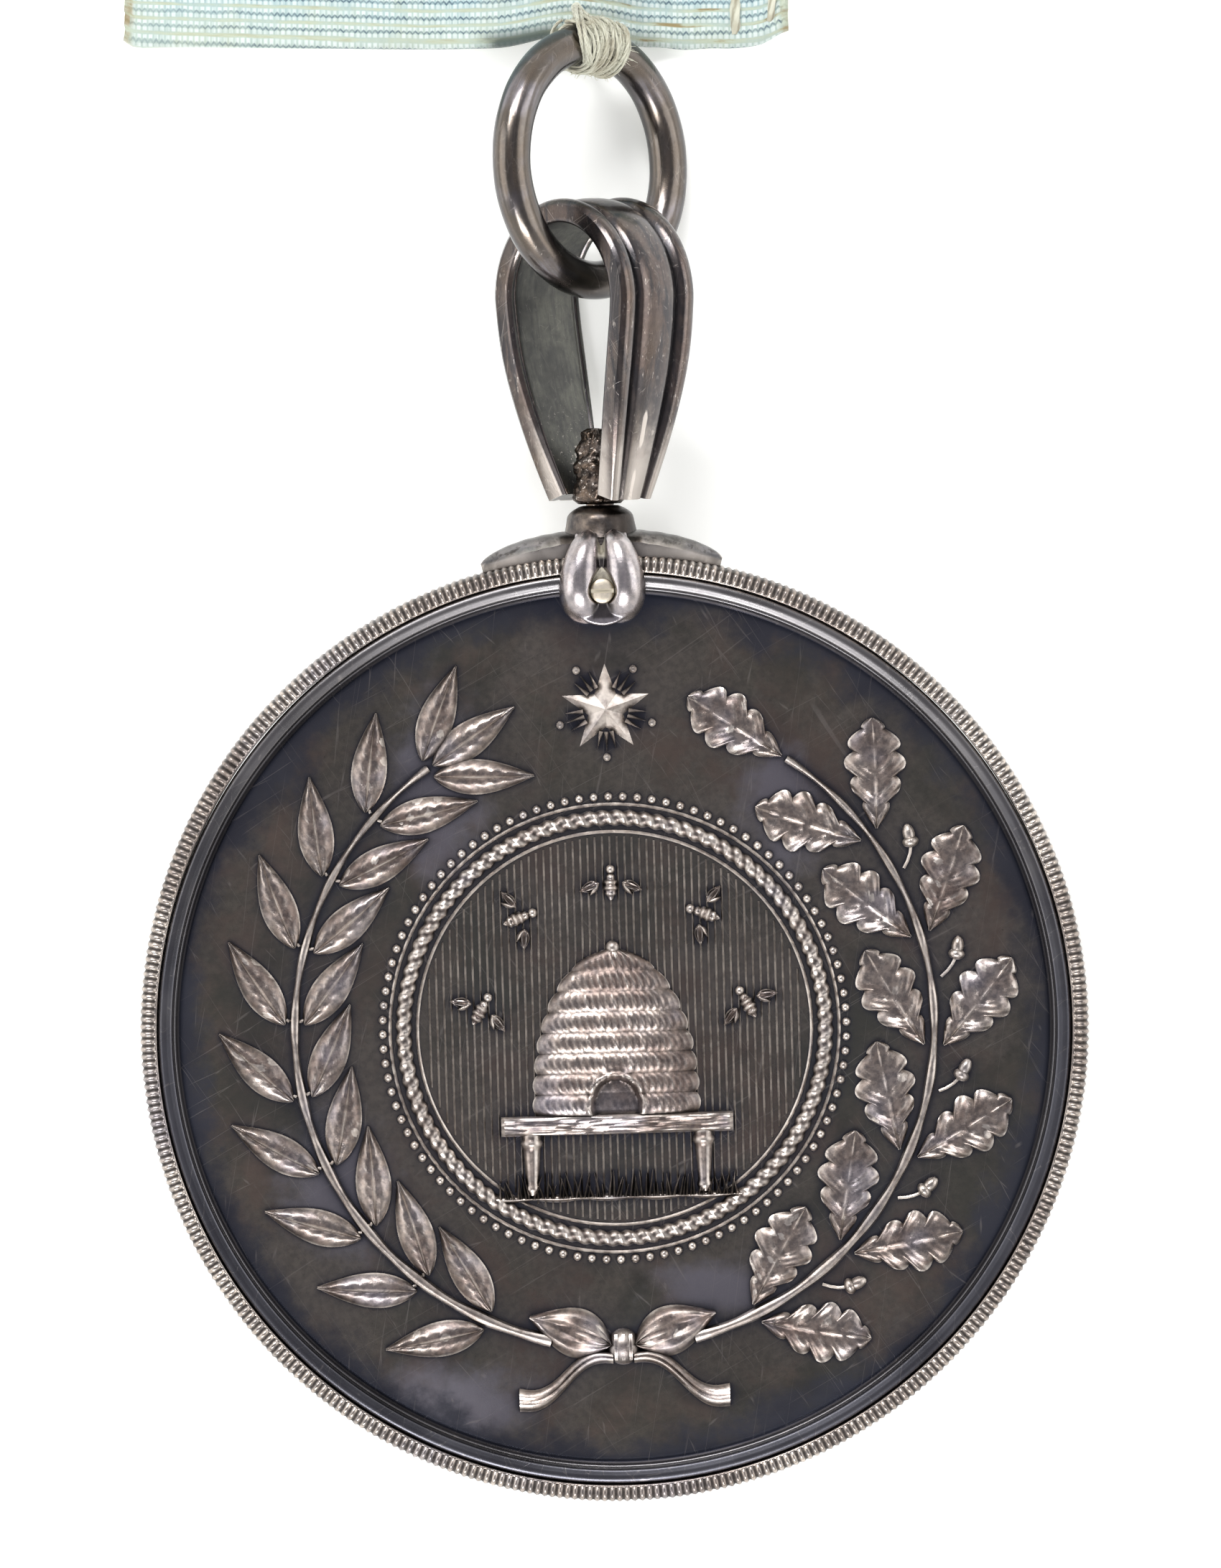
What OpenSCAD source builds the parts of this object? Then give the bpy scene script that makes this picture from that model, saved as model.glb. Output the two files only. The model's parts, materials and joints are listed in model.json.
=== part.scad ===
// Struck silver award medal in a reeded band, lying on its back on a table:
// claw, swivelling bail, wire ring, thread tie, folded ribbon and brooch bar.
// Millimetres. +Y runs up the medal, +Z out of its face, and the table is z = 0.

/* [Medal] */
// Diameter over the reeded band
medal_d = 54; // [50:0.5:58]
// Thickness of the band
band_t = 5.2; // [4.8:0.1:5.6]
// Width of the band, from the disc's rim to its outer edge
band_w = 0.98; // [0.9:0.02:1.1]
// Thickness of the flan at its field
flan_t = 2.6; // [2.2:0.1:2.8]
// Thickness of the disc at its raised rim
rim_t = 4.65; // [4.4:0.05:4.75]
// Width of the raised rim
rim_w = 0.82; // [0.6:0.02:1.0]
// Width of the groove inside the rim
groove_w = 0.32; // [0.2:0.02:0.4]

/* [Relief] */
// Radius of the wreath's stems
wreath_r = 18.2; // [17.6:0.1:18.6]
// Length of a laurel leaf
laurel_len = 5.7; // [5:0.1:6]
// Width of a laurel leaf
laurel_wide = 1.9; // [1.6:0.05:1.95]
// Length of an oak leaf
oak_len = 6.3; // [5.6:0.1:6.6]
// Width of an oak leaf
oak_wide = 3; // [2.6:0.1:3.1]
// Radius of the round border about the beehive
border_r = 12; // [11.5:0.1:12.4]
// Radius of the cord that makes the border
border_cord = 0.5; // [0.4:0.05:0.6]
// Width of the beehive at its foot
hive_wide = 9.6; // [8:0.1:10]
// Height of the beehive
hive_tall = 9.4; // [8:0.1:10]
// Radius of the star over the border
star_r = 2.9; // [2.4:0.1:3.2]

/* [Claw] */
// Half angle that the claw's two leaves cover along the edge, in degrees
leaf_deg = 14.5; // [12:0.5:16]
// Height of the leaves over the edge
leaf_high = 1.35; // [1.1:0.05:1.5]
// Half width of the leaves across the edge
leaf_half = 2.2; // [1.8:0.1:2.4]
// Radius of the round collar that holds the swivel
collar_r = 1.92; // [1.85:0.01:2.1]
// Radius of the claw's screw head
screw_head_r = 0.65; // [0.55:0.05:0.7]

/* [Bail] */
// Turn of the bail about the medal's axis, in degrees
swivel_deg = 41.6; // [35:0.1:48]
// Height of the bail
bail_high = 17.2; // [16.5:0.1:18]
// Half width across the outside of its two legs
bail_half = 5.1; // [4.9:0.05:5.3]
// Width of the strap over the arch
strap_wide = 6.16; // [5.8:0.02:6.4]
// Width of the strap at the foot of a leg
strap_foot = 3.0; // [2.6:0.1:3.4]
// Thickness of the strap at its ribs
strap_t = 1.35; // [1.2:0.05:1.45]
// Depth of the two grooves between the ribs
strap_groove = 0.55; // [0.3:0.05:0.6]

/* [Ring] */
// Diameter of the ring's wire
wire_d = 2.2; // [2:0.1:2.3]
// Diameter of the ring, to the middle of its wire
ring_d = 13.4; // [13.2:0.1:13.8]

/* [Ribbon] */
// Width of the ribbon
ribbon_wide = 38; // [37:0.5:38]
// Length from its lower fold to its end inside the bar
ribbon_long = 40; // [38:1:44]
// Thickness of the folded ribbon
ribbon_t = 1.2; // [1:0.1:1.3]
// Height to which the tie lifts the lower fold
ribbon_lift = 2.1; // [1.6:0.1:2.1]

/* [Brooch bar] */
// Length of the bar
bar_long = 40.4; // [40:0.1:40.6]
// Height of the bar
bar_high = 7; // [6.6:0.1:8]
// Thickness of the bar
bar_t = 3; // [2.8:0.1:3.4]
// Radius of the pin
pin_r = 0.5; // [0.45:0.05:0.55]

/* [Hidden] */

$fn = 64;
silver_dark = [0.36, 0.33, 0.33];
silver_mid = [0.52, 0.49, 0.49];
silver_light = [0.72, 0.70, 0.68];
thread_cream = [0.80, 0.78, 0.66];
ribbon_blue = [0.66, 0.80, 0.86];
bar_grey = [0.62, 0.61, 0.60];

// Clearances: between seated pieces, round the swivel, and along it
seat = 0.05;
swivel_gap = 0.05;
// Overlap of forms that join in one solid
lap = 0.1;

// Medal: radii and half thicknesses
medal_r = medal_d / 2;
band_in = medal_r - band_w;
rim_out = band_in - seat;
rim_in = rim_out - rim_w;
field_r = rim_in - groove_w;
field_z = flan_t / 2;
rim_z = rim_t / 2;
band_z = band_t / 2;
groove_deep = 0.25;
rim_bevel = 0.13;
band_bevel_in = 0.25;
band_bevel_out = 0.42;

// Claw, on the medal's axis
claw_in = medal_r + 0.06;
lobe_low = 23;
screw_y = 24.97;
screw_r = 0.4;
screw_hole = 0.45;
lobe_floor = 3.05;
collar_y = 28.55;
collar_top = 29.75;
collar_straight = 0.75;
neck_r = 0.8;
stud_head_r = 1.2;
stud_head_y = 28.25;
stud_head_t = 0.75;

// Bail and ring, on the same axis
bail_y = 30.05;
arch_y = 11.5;
arch_rise = bail_high - arch_y;
bail_foot = 2.48;
bail_taper_y = 9.5;
leg_bow = 0.7;
stud_block_r = 1.2;
stud_block_y = 4;
ring_y = 49.2;
ring_r = ring_d / 2;
wire_r = wire_d / 2;

// The bail props the medal up, and that tilts its axis
bail_reach = bail_half * sin(swivel_deg) + strap_wide / 2 * cos(swivel_deg);
low_r = medal_r - band_bevel_out;
tilt = atan((bail_reach - band_z) / (low_r + bail_y + arch_y));
axis_z = low_r * sin(tilt) + band_z * cos(tilt);
ring_z = wire_r + ring_r * cos(swivel_deg);

// The ribbon is laid a little askew to the medal
lay_deg = -1.6;
ribbon_x = -26.5;
ribbon_y = 56.8;
tie_u = 25.8;
lift_left = 9;
lift_right = 6;
lift_up = 14;
rise_from = 21;
rise_to = 34;
ribbon_cols = 24;
ribbon_rows = 16;

// Brooch bar, in the ribbon's own directions
bar_u = (ribbon_wide - bar_long) / 2;
bar_v = ribbon_long - 5;
bar_back = 2.4;
slot_gap = 0.1;
slot_z = bar_back + (bar_t - ribbon_t) / 2 - slot_gap;
bar_bevel = 0.5;
pin_v = bar_v + 3.6;
pin_z = 0.95;
post_u = 35;
pin_tip_u = 2;
pin_step_u = 7.8;
pin_taper_u = 3.5;
guard_r = pin_r - 0.2;

// The part's origin is under the middle of its box
end_y = ribbon_y + (bar_v + bar_high) * cos(lay_deg) - bar_u * sin(-lay_deg);
low_y = -medal_r * cos(tilt) - (band_z - band_bevel_out) * sin(tilt);
mid_y = (end_y + low_y) / 2;

// Cap of a section whose second half mirrors its first: strips from side to side
function folded_cap(n) = [for (j = [0:ceil(n / 2) - 2]) let (k = n - 1 - j)
    j + 2 == k ? [j, j + 1, k] : [j, j + 1, k - 1, k]];

// Triangles of a convex face, fanned from its first corner
function fan(face) = [for (i = [1:len(face) - 2]) [face[0], face[i], face[i + 1]]];

// Closed solid skinned over sections with equal numbers of points, which run
// clockwise for an eye that looks back along the sections
module skin(sections, cap = undef) {
    n = len(sections[0]);
    m = len(sections);
    last = (m - 1) * n;
    sides = [for (i = [0:m - 2], j = [0:n - 1])
        let (a = i * n + j, b = i * n + (j + 1) % n)
        each [[a, b, b + n], [a, b + n, a + n]]];
    ends = [for (face = is_undef(cap) ? folded_cap(n) : cap) each fan(face)];
    foot = [for (t = ends) [t[2], t[1], t[0]]];
    head = [for (t = ends) [t[0] + last, t[1] + last, t[2] + last]];
    polyhedron([for (s = sections) each s], concat(foot, sides, head), convexity = 4);
}

// Smooth step from 0 to 1 as t passes from 0 to 1
function ease(t) = let (c = min(max(t, 0), 1)) c * c * (3 - 2 * c);

// Places the medal's own frame, the frame of what lies flat, and the bail's turn
module on_axis() translate([0, -mid_y, axis_z]) rotate([tilt, 0, 0]) children();
module on_table() translate([0, -mid_y, 0]) children();
module turned() rotate([0, -swivel_deg, 0]) children();
module laid() on_table() translate([ribbon_x, ribbon_y, 0]) rotate(lay_deg) children();

// Relief forms stand on the field and are rooted in the flan
root = 0.3;
module on_field(x, y, heading) translate([x, y, field_z]) rotate(heading) children();

// Section of a leaf: edges at half width w, midrib at height h
leaf_edge_high = 0.18;
function leaf_section(x, w, h) = [[x, -w, -root], [x, -w, leaf_edge_high], [x, 0, h],
    [x, w, leaf_edge_high], [x, w, -root]];

// Laurel leaf, lying along +X from its stalk
module laurel_leaf(long, wide, high, at = [0, 0.22, 0.5, 0.8, 1]) {
    skin([for (t = at) leaf_section(t * long,
        0.07 + wide / 2 * sin(180 * pow(t, 0.78)), high * (0.5 + 0.5 * sin(170 * t)))]);
}

// Oak leaf: the lobes swell and pinch its width
lobes = 3.5;
module oak_leaf(long, wide, high) {
    steps = 10;
    skin([for (i = [0:steps]) let (t = i / steps) leaf_section(t * long,
        0.08 + wide / 2 * sin(180 * pow(t, 1.15)) * (0.78 - 0.3 * cos(360 * lobes * t)),
        high * (0.5 + 0.5 * sin(165 * t)))]);
}

// Length of strip along a bowed line, in the plane of the field
module band_strip(points, half, high) {
    skin([for (i = [0:len(points) - 1])
        let (a = points[max(i - 1, 0)], b = points[min(i + 1, len(points) - 1)],
             d = (b - a) / norm(b - a), s = [-d[1], d[0]], p = points[i])
        [for (q = [[-half, -root], [-half, high], [half, high], [half, -root]])
            [p[0] + s[0] * q[0], p[1] + s[1] * q[0], q[1]]]]);
}

// Place on a branch, at an angle up from the bottom of the wreath, and its heading
function branch_at(a) = [-wreath_r * sin(a), -wreath_r * cos(a)];
function branch_heading(a) = 180 - a;
branch_from = 25;
branch_to = 146;
stem_from = 13;
stem_half = 0.3;
stem_high = 0.4;
leaf_rise = 0.7;
spread = 37;
// Leaves stand this far off the stem's middle line
off_stem = 0.55;

module stem() translate([0, 0, field_z])
    band_strip([for (i = [0:12]) branch_at(stem_from + (branch_to - stem_from) * i / 12)],
        stem_half, stem_high);

module beside_stem(a, side) {
    p = branch_at(a) + side * off_stem * [-sin(a), -cos(a)];
    on_field(p[0], p[1], branch_heading(a) + side * spread) children();
}

laurel_rows = 9;
module laurel_branch() {
    stem();
    for (i = [0:laurel_rows], side = [-1, 1])
        beside_stem(branch_from + (branch_to - branch_from) * i / laurel_rows, side)
            laurel_leaf(laurel_len, laurel_wide, leaf_rise);
    tip = branch_at(branch_to + 1);
    on_field(tip[0], tip[1], branch_heading(branch_to)) laurel_leaf(laurel_len, laurel_wide, leaf_rise);
}

oak_rows = 6;
module oak_branch() {
    stem();
    for (i = [0:oak_rows - 1], side = [-1, 1]) {
        a = branch_from + (branch_to - branch_from) * i / oak_rows;
        beside_stem(a, side) oak_leaf(oak_len, oak_wide, leaf_rise);
    }
    tip = branch_at(branch_to + 1);
    on_field(tip[0], tip[1], branch_heading(branch_to)) oak_leaf(oak_len, oak_wide, leaf_rise);
}

// Bow that ties the branches: two loops, two tails and a knot
bow_y = -18.2;
knot_r = 1.2;
knot_sunk = 0.45;
loop_long = 4.9;
loop_wide = 2.7;
loop_deg = 20;
tail_from = [0.6, -0.6];
tail_run = [5.4, -2.3];
tail_wave = 0.5;
tail_half = 0.5;
tail_high = 0.5;
module bow() translate([0, bow_y, field_z]) {
    for (side = [0, 1]) mirror([side, 0, 0]) {
        translate([0.7, 0.15, 0]) rotate(loop_deg)
            laurel_leaf(loop_long, loop_wide, leaf_rise, [0, 0.15, 0.4, 0.75, 1]);
        band_strip([for (i = [0:6]) let (t = i / 6)
            tail_from + tail_run * t + [0, tail_wave * sin(360 * t)]], tail_half, tail_high);
    }
    translate([0, 0, -knot_sunk]) sphere(r = knot_r);
}

// Five-pointed star with a ridge down each ray
star_y = 18.2;
star_rays = 5;
star_notch = 0.42;
star_edge = 0.1;
star_peak = 0.85;
module star() translate([0, star_y, field_z]) {
    n = 2 * star_rays;
    rim = [for (i = [0:n - 1]) let (r = i % 2 == 0 ? star_r : star_r * star_notch, a = 90 + 360 * i / n)
        [r * cos(a), r * sin(a)]];
    polyhedron(
        concat([for (p = rim) [p[0], p[1], -root]], [for (p = rim) [p[0], p[1], star_edge]],
            [[0, 0, star_peak]]),
        concat([[for (i = [0:n - 1]) i]],
            [for (i = [0:n - 1]) let (j = (i + 1) % n) each [[i, i + n, j], [j, i + n, j + n]]],
            [for (i = [0:n - 1]) [(i + 1) % n + n, i + n, 2 * n]]));
}

// Coiled beehive in low relief, on a bench
hive_y = -4.9;
coils = 8;
hive_relief = 0.85;
// Dome of the hive, and its section as shares of its half width and height
hive_dome = 2.4;
hive_crown = 0.012;
hive_shape = [[1, -root], [1, 0.1], [0.8, 0.62], [0.45, 0.92], [0, 1],
              [-0.45, 0.92], [-0.8, 0.62], [-1, 0.1], [-1, -root]];
// Size of the hive between two coils, as a share of its size on a coil
between_wide = 0.93;
between_high = 0.86;
function hive_half(t) = hive_wide / 2 * sqrt(max(1 - pow(t, hive_dome), hive_crown));
function hive_high(t) = hive_relief * (0.35 + 0.65 * sqrt(1 - t * t));
module beehive() translate([0, hive_y, field_z]) skin([for (i = [0:2 * coils])
    let (t = i / (2 * coils), between = i % 2 == 0,
         w = hive_half(t) * (between ? between_wide : 1),
         h = hive_high(t) * (between ? between_high : 1))
    [for (q = hive_shape) [w * q[0], hive_tall * t, q[1] < 0 ? q[1] : h * q[1]]]]);

bench_half = 6.6;
bench_t = 1.1;
bench_high = 0.7;
bench_foot = 4.9;
leg_foot_r = 0.36;
leg_top_r = 0.62;
ground_y = -9.4;
ground_half = 7;
ground_wide = 0.45;
ground_high = 0.4;
module bench() {
    translate([-bench_half, hive_y - bench_t, field_z - root])
        cube([2 * bench_half, bench_t + 0.1, root + bench_high]);
    for (x = [-bench_foot, bench_foot]) translate([x, ground_y, field_z]) rotate([-90, 0, 0])
        cylinder(r1 = leg_foot_r, r2 = leg_top_r, h = hive_y - bench_t - ground_y + 0.1, $fn = 24);
    translate([-ground_half, ground_y - ground_wide, field_z - root])
        cube([2 * ground_half, ground_wide, root + ground_high]);
}

// Bees: place and heading of each
bees = [[-7.6, 1.2, 60], [7.6, 1.2, 120], [-5.3, 6.4, 20], [5.3, 6.4, 160], [0, 8.2, 90]];
bee_at = [0, 0.5, 1];
bee_long = 1.8;
bee_wide = 0.8;
bee_high = 0.5;
wing_long = 1.2;
wing_wide = 0.55;
wing_high = 0.3;
wing_deg = 112;
wing_out = 0.66;
module bee() {
    translate([-bee_long / 2, 0, 0]) laurel_leaf(bee_long, bee_wide, bee_high, bee_at);
    for (s = [-1, 1]) translate([0.1, s * wing_out, 0]) rotate(s * wing_deg)
        laurel_leaf(wing_long, wing_wide, wing_high, bee_at);
}

// Disc: flan with a raised rim on both sides, the relief struck on its face
module flan() difference() {
    rotate_extrude($fn = 180) polygon([
        [0, -field_z], [field_r, -field_z], [field_r, groove_deep - field_z],
        [rim_in - rim_bevel, groove_deep - field_z], [rim_in, -rim_z + rim_bevel],
        [rim_in + rim_bevel, -rim_z], [rim_out - rim_bevel, -rim_z], [rim_out, -rim_z + rim_bevel],
        [rim_out, rim_z - rim_bevel], [rim_out - rim_bevel, rim_z], [rim_in + rim_bevel, rim_z],
        [rim_in, rim_z - rim_bevel], [rim_in - rim_bevel, field_z - groove_deep],
        [field_r, field_z - groove_deep], [field_r, field_z], [0, field_z]]);
    translate([0, screw_y, 0]) cylinder(r = screw_hole, h = 3 * rim_t, center = true);
}

module disc() color(silver_dark) on_axis() {
    flan();
    translate([0, 0, field_z]) rotate_extrude($fn = 96)
        translate([border_r, 0]) circle(border_cord, $fn = 24);
    laurel_branch();
    mirror([1, 0, 0]) oak_branch();
    bow();
    star();
    beehive();
    bench();
    for (b = bees) on_field(b[0], b[1], b[2]) bee();
}

// Band: set round the disc like a bezel, its reeds cut from edge to face
module edge_band() color(silver_light) on_axis() rotate_extrude($fn = 180) polygon([
    [band_in, band_bevel_in - band_z], [band_in + band_bevel_in, -band_z],
    [medal_r - band_bevel_out, -band_z], [medal_r, band_bevel_out - band_z],
    [medal_r, band_z - band_bevel_out], [medal_r - band_bevel_out, band_z],
    [band_in + band_bevel_in, band_z], [band_in, band_z - band_bevel_in]]);

// Claw: two leaves along the edge, a lobe of two bulbs over each face, and the swivel's collar
leaf_steps = 6;
leaf_sunk = 0.15;
tip_half = 0.12;
tip_high = 0.42;
side_tip = 0.24;
side_mid = 0.84;
module claw_leaves() skin([for (i = [-leaf_steps:leaf_steps])
    let (t = abs(i) / leaf_steps, a = leaf_deg * i / leaf_steps,
         w = tip_half + leaf_half * pow(1 - pow(t, 2.4), 0.8),
         top = tip_high + (leaf_high - tip_high) * pow(1 - pow(t, 3), 0.7),
         side = side_mid + (side_tip - side_mid) * t,
         shoulder = side * 0.3 + top * 0.7)
    [for (q = [[-leaf_sunk, w], [side, w], [shoulder, w * 0.6], [top, 0],
               [shoulder, -w * 0.6], [side, -w], [-leaf_sunk, -w]])
        [(claw_in + q[0]) * sin(a), (claw_in + q[0]) * cos(a), q[1]]]]);

// Sections down a bulb: height, middle across, middle out, and half sizes across and out
bulb_rows = [
    [28.2, 0.75, 2.30, 0.35, 0.40],
    [27.7, 0.92, 2.45, 0.75, 0.90],
    [26.8, 1.12, 2.70, 1.00, 1.05],
    [25.6, 1.28, 2.75, 1.17, 1.20],
    [24.6, 1.28, 2.60, 1.19, 1.20],
    [23.8, 1.15, 2.40, 1.02, 0.95],
    [23.3, 0.95, 2.20, 0.60, 0.50]];
bulb_sides = 10;
module bulb() skin([for (r = bulb_rows) [for (j = [0:bulb_sides - 1])
    let (a = 360 * (j + 0.5) / bulb_sides) [r[1] + r[3] * sin(a), r[0], r[2] + r[4] * cos(a)]]]);

lobe_plate_r = 2.02;
lobe_plate_z = 1;
module lobe() {
    bulb();
    mirror([1, 0, 0]) bulb();
    translate([0, lobe_low + lobe_plate_r, lobe_plate_z])
        cylinder(r = lobe_plate_r, h = lobe_floor - lobe_plate_z);
}

// Block between the lobes over the edge, and the cone and drum of the collar
neck_block = [3.4, 1.7, 5.9];
neck_block_y = claw_in + 0.35;
skirt_y = claw_in + 0.4;
skirt_r = collar_r + 0.45;
drum_y = collar_y + 0.1;
cone_r = 1.2;

// Hollow between the two front bulbs: round at the screw's head, drawn up to a point
hollow_r = screw_head_r + seat;
hollow_half = 0.6;
hollow_top = 26.7;
module claw_hollow() translate([0, 0, lobe_floor]) {
    translate([0, screw_y, 0]) cylinder(r = hollow_r, h = 2);
    linear_extrude(2) polygon([[-hollow_half, screw_y], [hollow_half, screw_y], [0, hollow_top]]);
}

module claw() color(silver_light) on_axis() difference() {
    union() {
        claw_leaves();
        lobe();
        mirror([0, 0, 1]) lobe();
        translate([0, neck_block_y, 0]) cube(neck_block, center = true);
        rotate([-90, 0, 0]) rotate_extrude() polygon([
            [0, skirt_y], [skirt_r, skirt_y], [collar_r + 0.1, collar_y - 0.2], [collar_r, drum_y],
            [collar_r, collar_y + collar_straight], [cone_r, collar_top], [0, collar_top]]);
    }
    difference() {
        cylinder(r = claw_in, h = band_t + 2 * seat, center = true);
        cylinder(r = field_r - seat, h = 2 * band_t, center = true);
    }
    cylinder(r = field_r, h = flan_t + 2 * seat, center = true);
    claw_hollow();
    translate([0, screw_y, 0]) cylinder(r = screw_hole, h = 3 * band_t, center = true);
    translate([0, stud_head_y - swivel_gap, 0]) rotate([-90, 0, 0])
        cylinder(r = stud_head_r + swivel_gap, h = stud_head_t + 2 * swivel_gap);
    translate([0, stud_head_y, 0]) rotate([-90, 0, 0]) cylinder(r = neck_r + swivel_gap, h = 3);
}

// Screw through the claw's two lobes, with a slotted head at the front
screw_head_t = 0.42;
slot_wide = 0.22;
slot_deep = 0.2;
module claw_screw() color(silver_light) on_axis() translate([0, screw_y, 0]) difference() {
    union() {
        translate([0, 0, -lobe_floor]) cylinder(r = screw_r, h = 2 * lobe_floor + 0.1);
        translate([0, 0, lobe_floor + seat]) cylinder(r = screw_head_r, h = screw_head_t);
    }
    translate([-1, -slot_wide / 2, lobe_floor + seat + screw_head_t - slot_deep]) cube([2, slot_wide, 1]);
}

// Bail: a ribbed strap bent into a loop, its two feet soldered to the swivel's stud
function bail_out(y) = bail_foot
    + (bail_half - bail_foot) * (leg_bow * sin(90 * y / arch_y) + (1 - leg_bow) * y / arch_y);
function strap_width(y) = strap_foot + (strap_wide - strap_foot) * sin(90 * min(y / bail_taper_y, 1));
leg_steps = 8;
arch_steps = 14;
leg_path = [for (i = [0:leg_steps - 1]) let (y = arch_y * i / leg_steps) [bail_out(y), y]];
arch_path = [for (i = [0:arch_steps]) let (a = 180 * i / arch_steps)
    [bail_half * cos(a), arch_y + arch_rise * sin(a)]];
bail_path = concat(leg_path, arch_path,
    [for (i = [leg_steps - 1:-1:0]) [-leg_path[i][0], leg_path[i][1]]]);
// Ribs on one half of the strap: place as a share of its width, depth as a share of the groove's
strap_ribs = [[-0.5, 0.75], [-0.47, 0.15], [-0.42, 0], [-0.37, 0.15], [-0.33, 1], [-0.23, 1],
              [-0.19, 0.2], [-0.1, 0]];
strap_top = concat(strap_ribs,
    [for (i = [len(strap_ribs) - 1:-1:0]) [-strap_ribs[i][0], strap_ribs[i][1]]]);
strap_in = [0.5, 0.33, 0.23, -0.23, -0.33, -0.5];
// Cap of a foot, in convex pieces: a bead, a groove, the middle rib, a groove, a bead
strap_cap = [[21, 0, 1, 2, 3, 4, 20], [20, 4, 5, 19], [19, 5, 6, 7, 8, 9, 10, 18],
             [18, 10, 11, 17], [16, 17, 11, 12, 13, 14, 15]];

function strap_section(i) =
    let (n = len(bail_path), p = bail_path[i],
         a = bail_path[max(i - 1, 0)], b = bail_path[min(i + 1, n - 1)],
         d = i == 0 ? [0, 1] : i == n - 1 ? [0, -1] : (b - a) / norm(b - a),
         out = [d[1], -d[0]], w = strap_width(min(p[1], arch_y)))
    concat([for (q = strap_top) let (deep = q[1] * strap_groove)
            [p[0] - out[0] * deep, p[1] - out[1] * deep, q[0] * w]],
        [for (s = strap_in) [p[0] - out[0] * strap_t, p[1] - out[1] * strap_t, s * w]]);

module bail() color(silver_mid) on_axis() translate([0, bail_y, 0]) turned() {
    skin([for (i = [0:len(bail_path) - 1]) strap_section(i)], strap_cap);
    rotate([-90, 0, 0]) {
        cylinder(r = stud_block_r, h = stud_block_y, $fn = 40);
        translate([0, 0, stud_head_y + stud_head_t - bail_y - lap])
            cylinder(r = neck_r, h = bail_y - stud_head_y - stud_head_t + 2 * lap);
        translate([0, 0, stud_head_y - bail_y]) cylinder(r = stud_head_r, h = stud_head_t);
    }
}

// Ring: hangs in the bail and leans back on the table
module in_ring() on_table() translate([0, ring_y, ring_z]) turned() rotate([0, 90, 0]) children();
module ring() color(silver_mid) in_ring() rotate_extrude($fn = 96)
    translate([ring_r, 0]) circle(wire_r, $fn = 32);

// Thread tie: a bundle round the ring's top, and strands to both sides of the ribbon
bundle_r = 1.72;
bundle_deg = 13;
bundle_turn = -4;
strand_r = 0.3;
front_knot = [0.3, 56.95, 7.55];
front_stitch = [-0.55, 58.25, 3.68];
back_knot = [-0.3, 55.3, 4.42];
under_fold = [-0.2, 55.35, 1.62];
back_stitch = [-0.6, 58.1, 1.58];
module strand(a, b) hull() {
    translate(a) sphere(r = strand_r, $fn = 16);
    translate(b) sphere(r = strand_r, $fn = 16);
}
module thread_tie() color(thread_cream) {
    in_ring() rotate(90 + bundle_turn - bundle_deg) rotate_extrude(angle = 2 * bundle_deg, $fn = 96)
        translate([ring_r, 0]) difference() {
            circle(bundle_r, $fn = 32);
            circle(wire_r + seat, $fn = 32);
        }
    on_table() {
        strand(front_knot, front_stitch);
        strand(back_knot, under_fold);
        strand(under_fold, back_stitch);
    }
}

// Ribbon: lies on the table, lifted at the tie and where it enters the bar
function lift_across(u) = let (d = u < tie_u ? (tie_u - u) / lift_left : (u - tie_u) / lift_right)
    d < 1 ? pow(cos(90 * d), 2) : 0;
function lift_along(v) = v < lift_up ? pow(cos(90 * v / lift_up), 2) : 0;
function ribbon_under(u, v) = ribbon_lift * lift_across(u) * lift_along(v)
    + (slot_z + slot_gap) * ease((v - rise_from) / (rise_to - rise_from));
module ribbon() color(ribbon_blue) laid() skin([for (j = [0:ribbon_rows])
    let (v = ribbon_long * j / ribbon_rows)
    concat([for (i = [ribbon_cols:-1:0]) let (u = ribbon_wide * i / ribbon_cols)
            [u, v, ribbon_under(u, v) + ribbon_t]],
        [for (i = [0:ribbon_cols]) let (u = ribbon_wide * i / ribbon_cols) [u, v, ribbon_under(u, v)]])]);

// Brooch bar: a sleeve for the ribbon's end, with a pin and its catch on the back
catch_u = 8;
catch_long = 2;
catch_floor = 0.35;
catch_back = 0.5;
catch_wide = 2.4;
catch_lip = 0.35;
catch_lip_high = 1.2;
catch_v = pin_v - 1.3;
post = 2.4;
pin_point_r = 0.08;
slot_side = 0.3;
slot_end = 0.2;
bar_section = [[0, bar_bevel], [bar_bevel, 0], [bar_high - bar_bevel, 0], [bar_high, bar_bevel],
    [bar_high, bar_t - bar_bevel], [bar_high - bar_bevel, bar_t], [bar_bevel, bar_t],
    [0, bar_t - bar_bevel]];
module bar_sleeve() difference() {
    translate([bar_u, bar_v, bar_back]) rotate([90, 0, 90]) linear_extrude(bar_long) polygon(bar_section);
    translate([-slot_side, bar_v - 1, slot_z])
        cube([ribbon_wide + 2 * slot_side, ribbon_long - bar_v + 1 + slot_end, ribbon_t + 2 * slot_gap]);
}
module along_pin(u) translate([u, pin_v, pin_z]) rotate([0, 90, 0]) children();
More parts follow.
